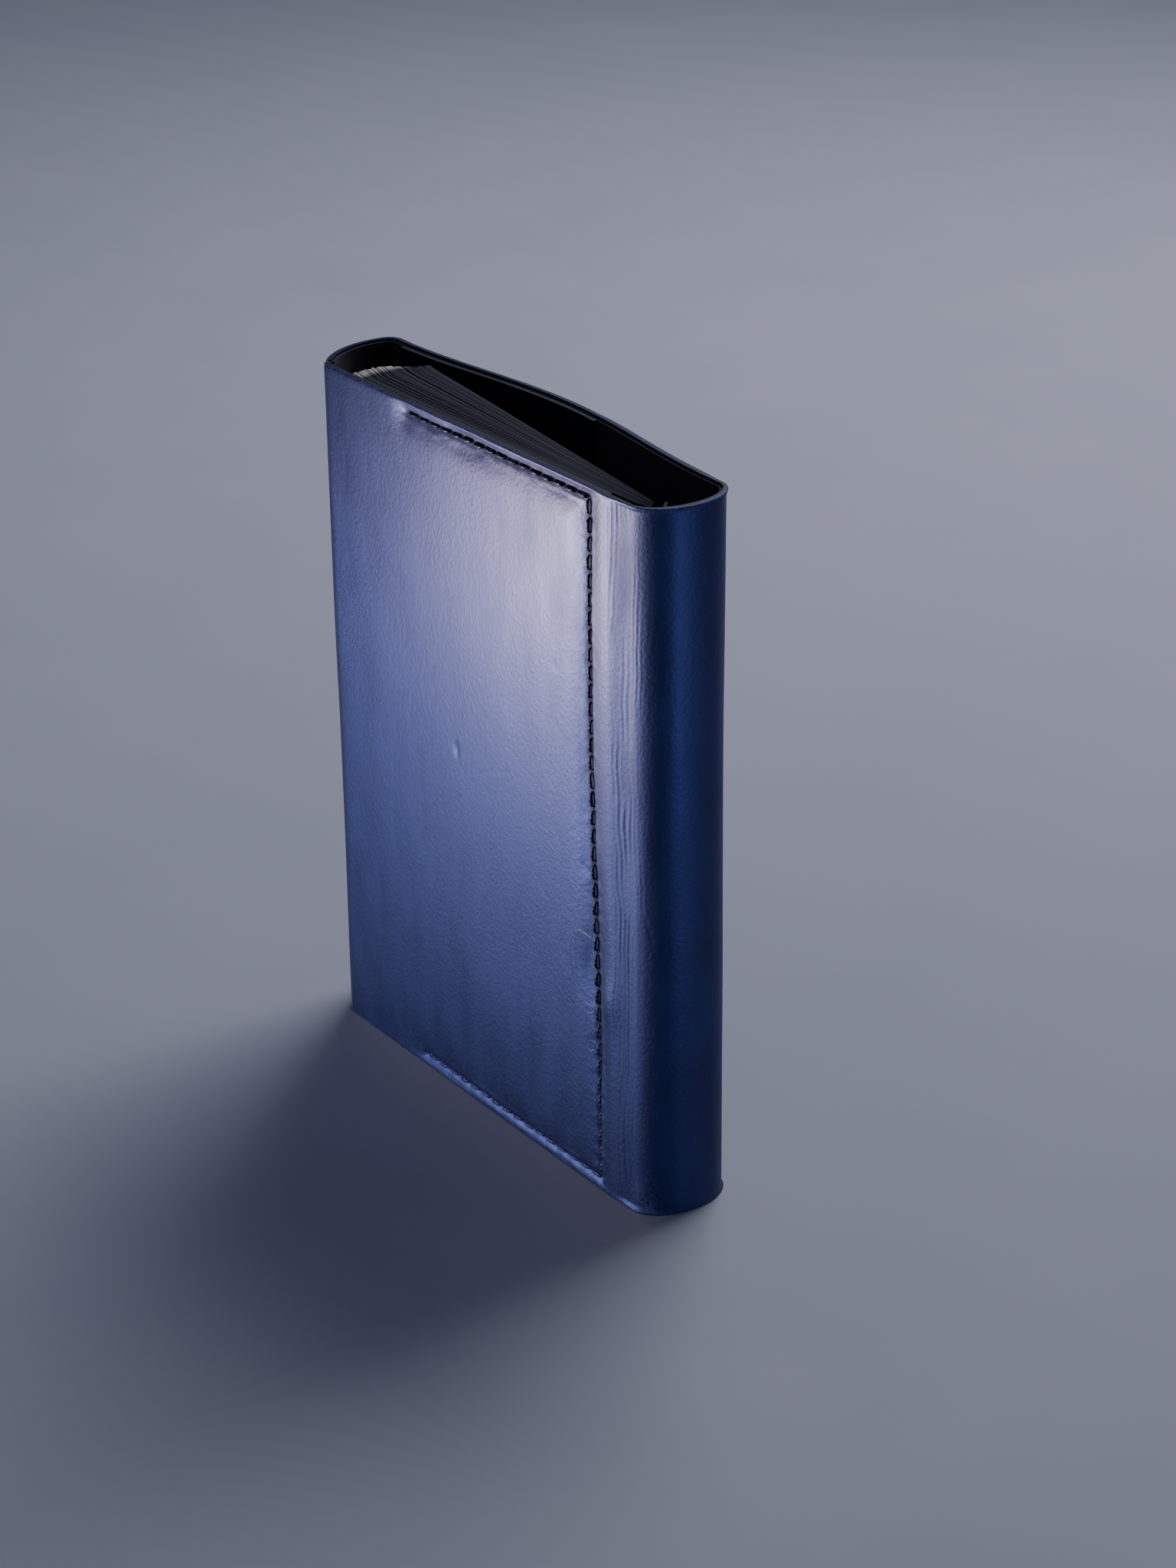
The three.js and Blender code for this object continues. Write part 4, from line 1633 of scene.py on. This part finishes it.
@dataclass
class Studio:
    """Camera, floor and soft lights."""

    plan: Plan
    lens_mm: float = 80.9
    azimuth: float = 54.8  # degrees from the front face's normal towards the spine
    elevation: float = 24.6
    roll: float = 0.64
    distance: float = 574.0  # level distance from the camera to the foot of the front seam
    eye_height: float = 347.0
    sideways: float = 1.4  # how far the camera is shifted to its left, level
    floor_half: float = 15.0  # in metres, as the next one
    floor_z: float = -0.00003  # a little below the foot, so that the two don't coincide
    air: str = "9ca4c6"
    air_strength: float = 0.22
    lights: tuple[SoftLight, ...] = (
        SoftLight(
            "key_light",
            (-0.038, -0.09, 0.097),
            (0.04, 0.045),
            0.58,
            "ffe8de",
            (0.02, 0.0, 0.112),
            True,
        ),
        SoftLight("low_light", (-0.06, -0.17, 0.0), (0.16, 0.1), 2.0, "d3daff", (0.0, 0.0, 0.03), True),
        SoftLight("rim_light", (0.25, 0.01, 0.06), (0.05, 0.12), 0.3, "c3ccff", (0.05, 0.0, 0.1), True),
        SoftLight("top_light", (-0.25, 0.6, 0.8), (0.6, 0.6), 6.0, "e9ecff"),
    )

    def build(self) -> None:
        """Adds the whole studio."""
        scene = bpy.context.scene
        a, e, r = (math.radians(angle) for angle in (self.azimuth, self.elevation, self.roll))
        level = np.array([-math.sin(a), math.cos(a)])
        right = np.array([math.cos(a), math.sin(a)])
        eye = self.plan.at(0.0, 0.0) - self.distance * level - self.sideways * right
        camera = bpy.data.objects.new("camera", bpy.data.cameras.new("camera"))
        camera.data.lens, camera.data.sensor_width = self.lens_mm, 36.0
        camera.data.clip_start, camera.data.clip_end = 0.01, 40.0
        camera.location = (*(eye * MM), self.eye_height * MM)
        back = Vector((*(-level * math.cos(e)), math.sin(e)))
        across = Vector((*right, 0.0))
        upward = back.cross(across)
        rolled = across * math.cos(r) - upward * math.sin(r)
        raised = upward * math.cos(r) + across * math.sin(r)
        camera.rotation_euler = Matrix((rolled, raised, back)).transposed().to_euler()
        scene.collection.objects.link(camera)
        scene.camera = camera
        self.floor()
        for light in self.lights:
            light.build()
        world = bpy.data.worlds.new("studio_air")
        world.use_nodes = True
        world.node_tree.nodes.clear()
        glow = {"Color": linear(self.air), "Strength": self.air_strength}
        air = add_node(world.node_tree, "Background", {}, glow)
        add_node(world.node_tree, "OutputWorld", {}, {"Surface": air.outputs[0]})
        scene.world = world

    def floor(self) -> None:
        """Adds the floor: a flat sheet of background paper, far larger than the view."""
        line = np.linspace(-self.floor_half, self.floor_half, 9)
        x, y = np.meshgrid(line, line, indexing="ij")
        points = np.stack([x, y, np.full_like(x, self.floor_z)], axis=-1).reshape(-1, 3)
        number = np.arange(x.size).reshape(x.shape)
        quads = np.stack([number[:-1, :-1], number[1:, :-1], number[1:, 1:], number[:-1, 1:]], axis=-1)
        mesh = bpy.data.meshes.new("floor")
        mesh.from_pydata(points.tolist(), [], quads.reshape(-1, 4).tolist())
        mesh.materials.append(BackgroundPaper().material())
        floor = bpy.data.objects.new("floor", mesh)
        bpy.context.scene.collection.objects.link(floor)


# --- assembly --------------------------------------------------------------------------------


@dataclass
class Wallet:
    """The whole wallet."""

    plan: Plan
    margin: float = 2.2  # from the seams to the cover's edges
    front_pocket: tuple[float, float] = (62.0, -2.2)  # u of the open edge and of the closed edge
    back_pocket: tuple[float, float] = (31.0, 90.2)
    pocket_lip: float = 2.0  # how far the seams stop short of a pocket's open edge

    def build(self) -> None:
        """Builds each sub-assembly in order."""
        outline = Outline(self.plan)
        low, high = self.margin, self.plan.height - self.margin
        front_open = outline.front_s(self.front_pocket[0] - self.pocket_lip)
        front_seam = Seam(outline[Mark.SEAM], front_open, low, high, drift=-2.5)
        back_open, back_closed = self.back_pocket[0] + self.pocket_lip, self.back_pocket[1] - self.margin
        back_seam = Seam(outline.back_s(back_closed), outline.back_s(back_open), low, high, level_count=15)
        CoverLeather(outline, Relief(outline, front_seam, back_seam)).build()
        Lining(outline).build()
        # the pockets' leather and cut edge are coloured near black: painted shade of the wallet's inside
        pocket_shade_tones = {"deep": "0a0d18", "middle": "151a2b", "worn": "333a54", "gleam": "646da0"}
        leather = SmoothLeather("shade_darkened_pocket_leather", **pocket_shade_tones).material()
        materials = [leather, SealedEdge("shade_darkened_pocket_edge", "06070c", "121523").material()]
        front_span = (outline.front_s(self.front_pocket[0]), outline.front_s(self.front_pocket[1]))
        back_span = (outline.back_s(self.back_pocket[0]), outline.back_s(self.back_pocket[1]))
        PocketPanel(outline, "front", front_seam, front_span).build(materials)
        PocketPanel(outline, "back", back_seam, back_span).build(materials)
        Stitching(outline, front_seam, back_seam).build()
        Insert(self.plan).build()


def main() -> None:
    """Builds the studio and the wallet."""
    logging.basicConfig(level=logging.INFO, format="%(name)s: %(message)s")
    plan = Plan.from_frame()
    Studio(plan).build()
    Wallet(plan).build()
    bpy.context.view_layer.update()


if __name__ == "__main__":
    main()
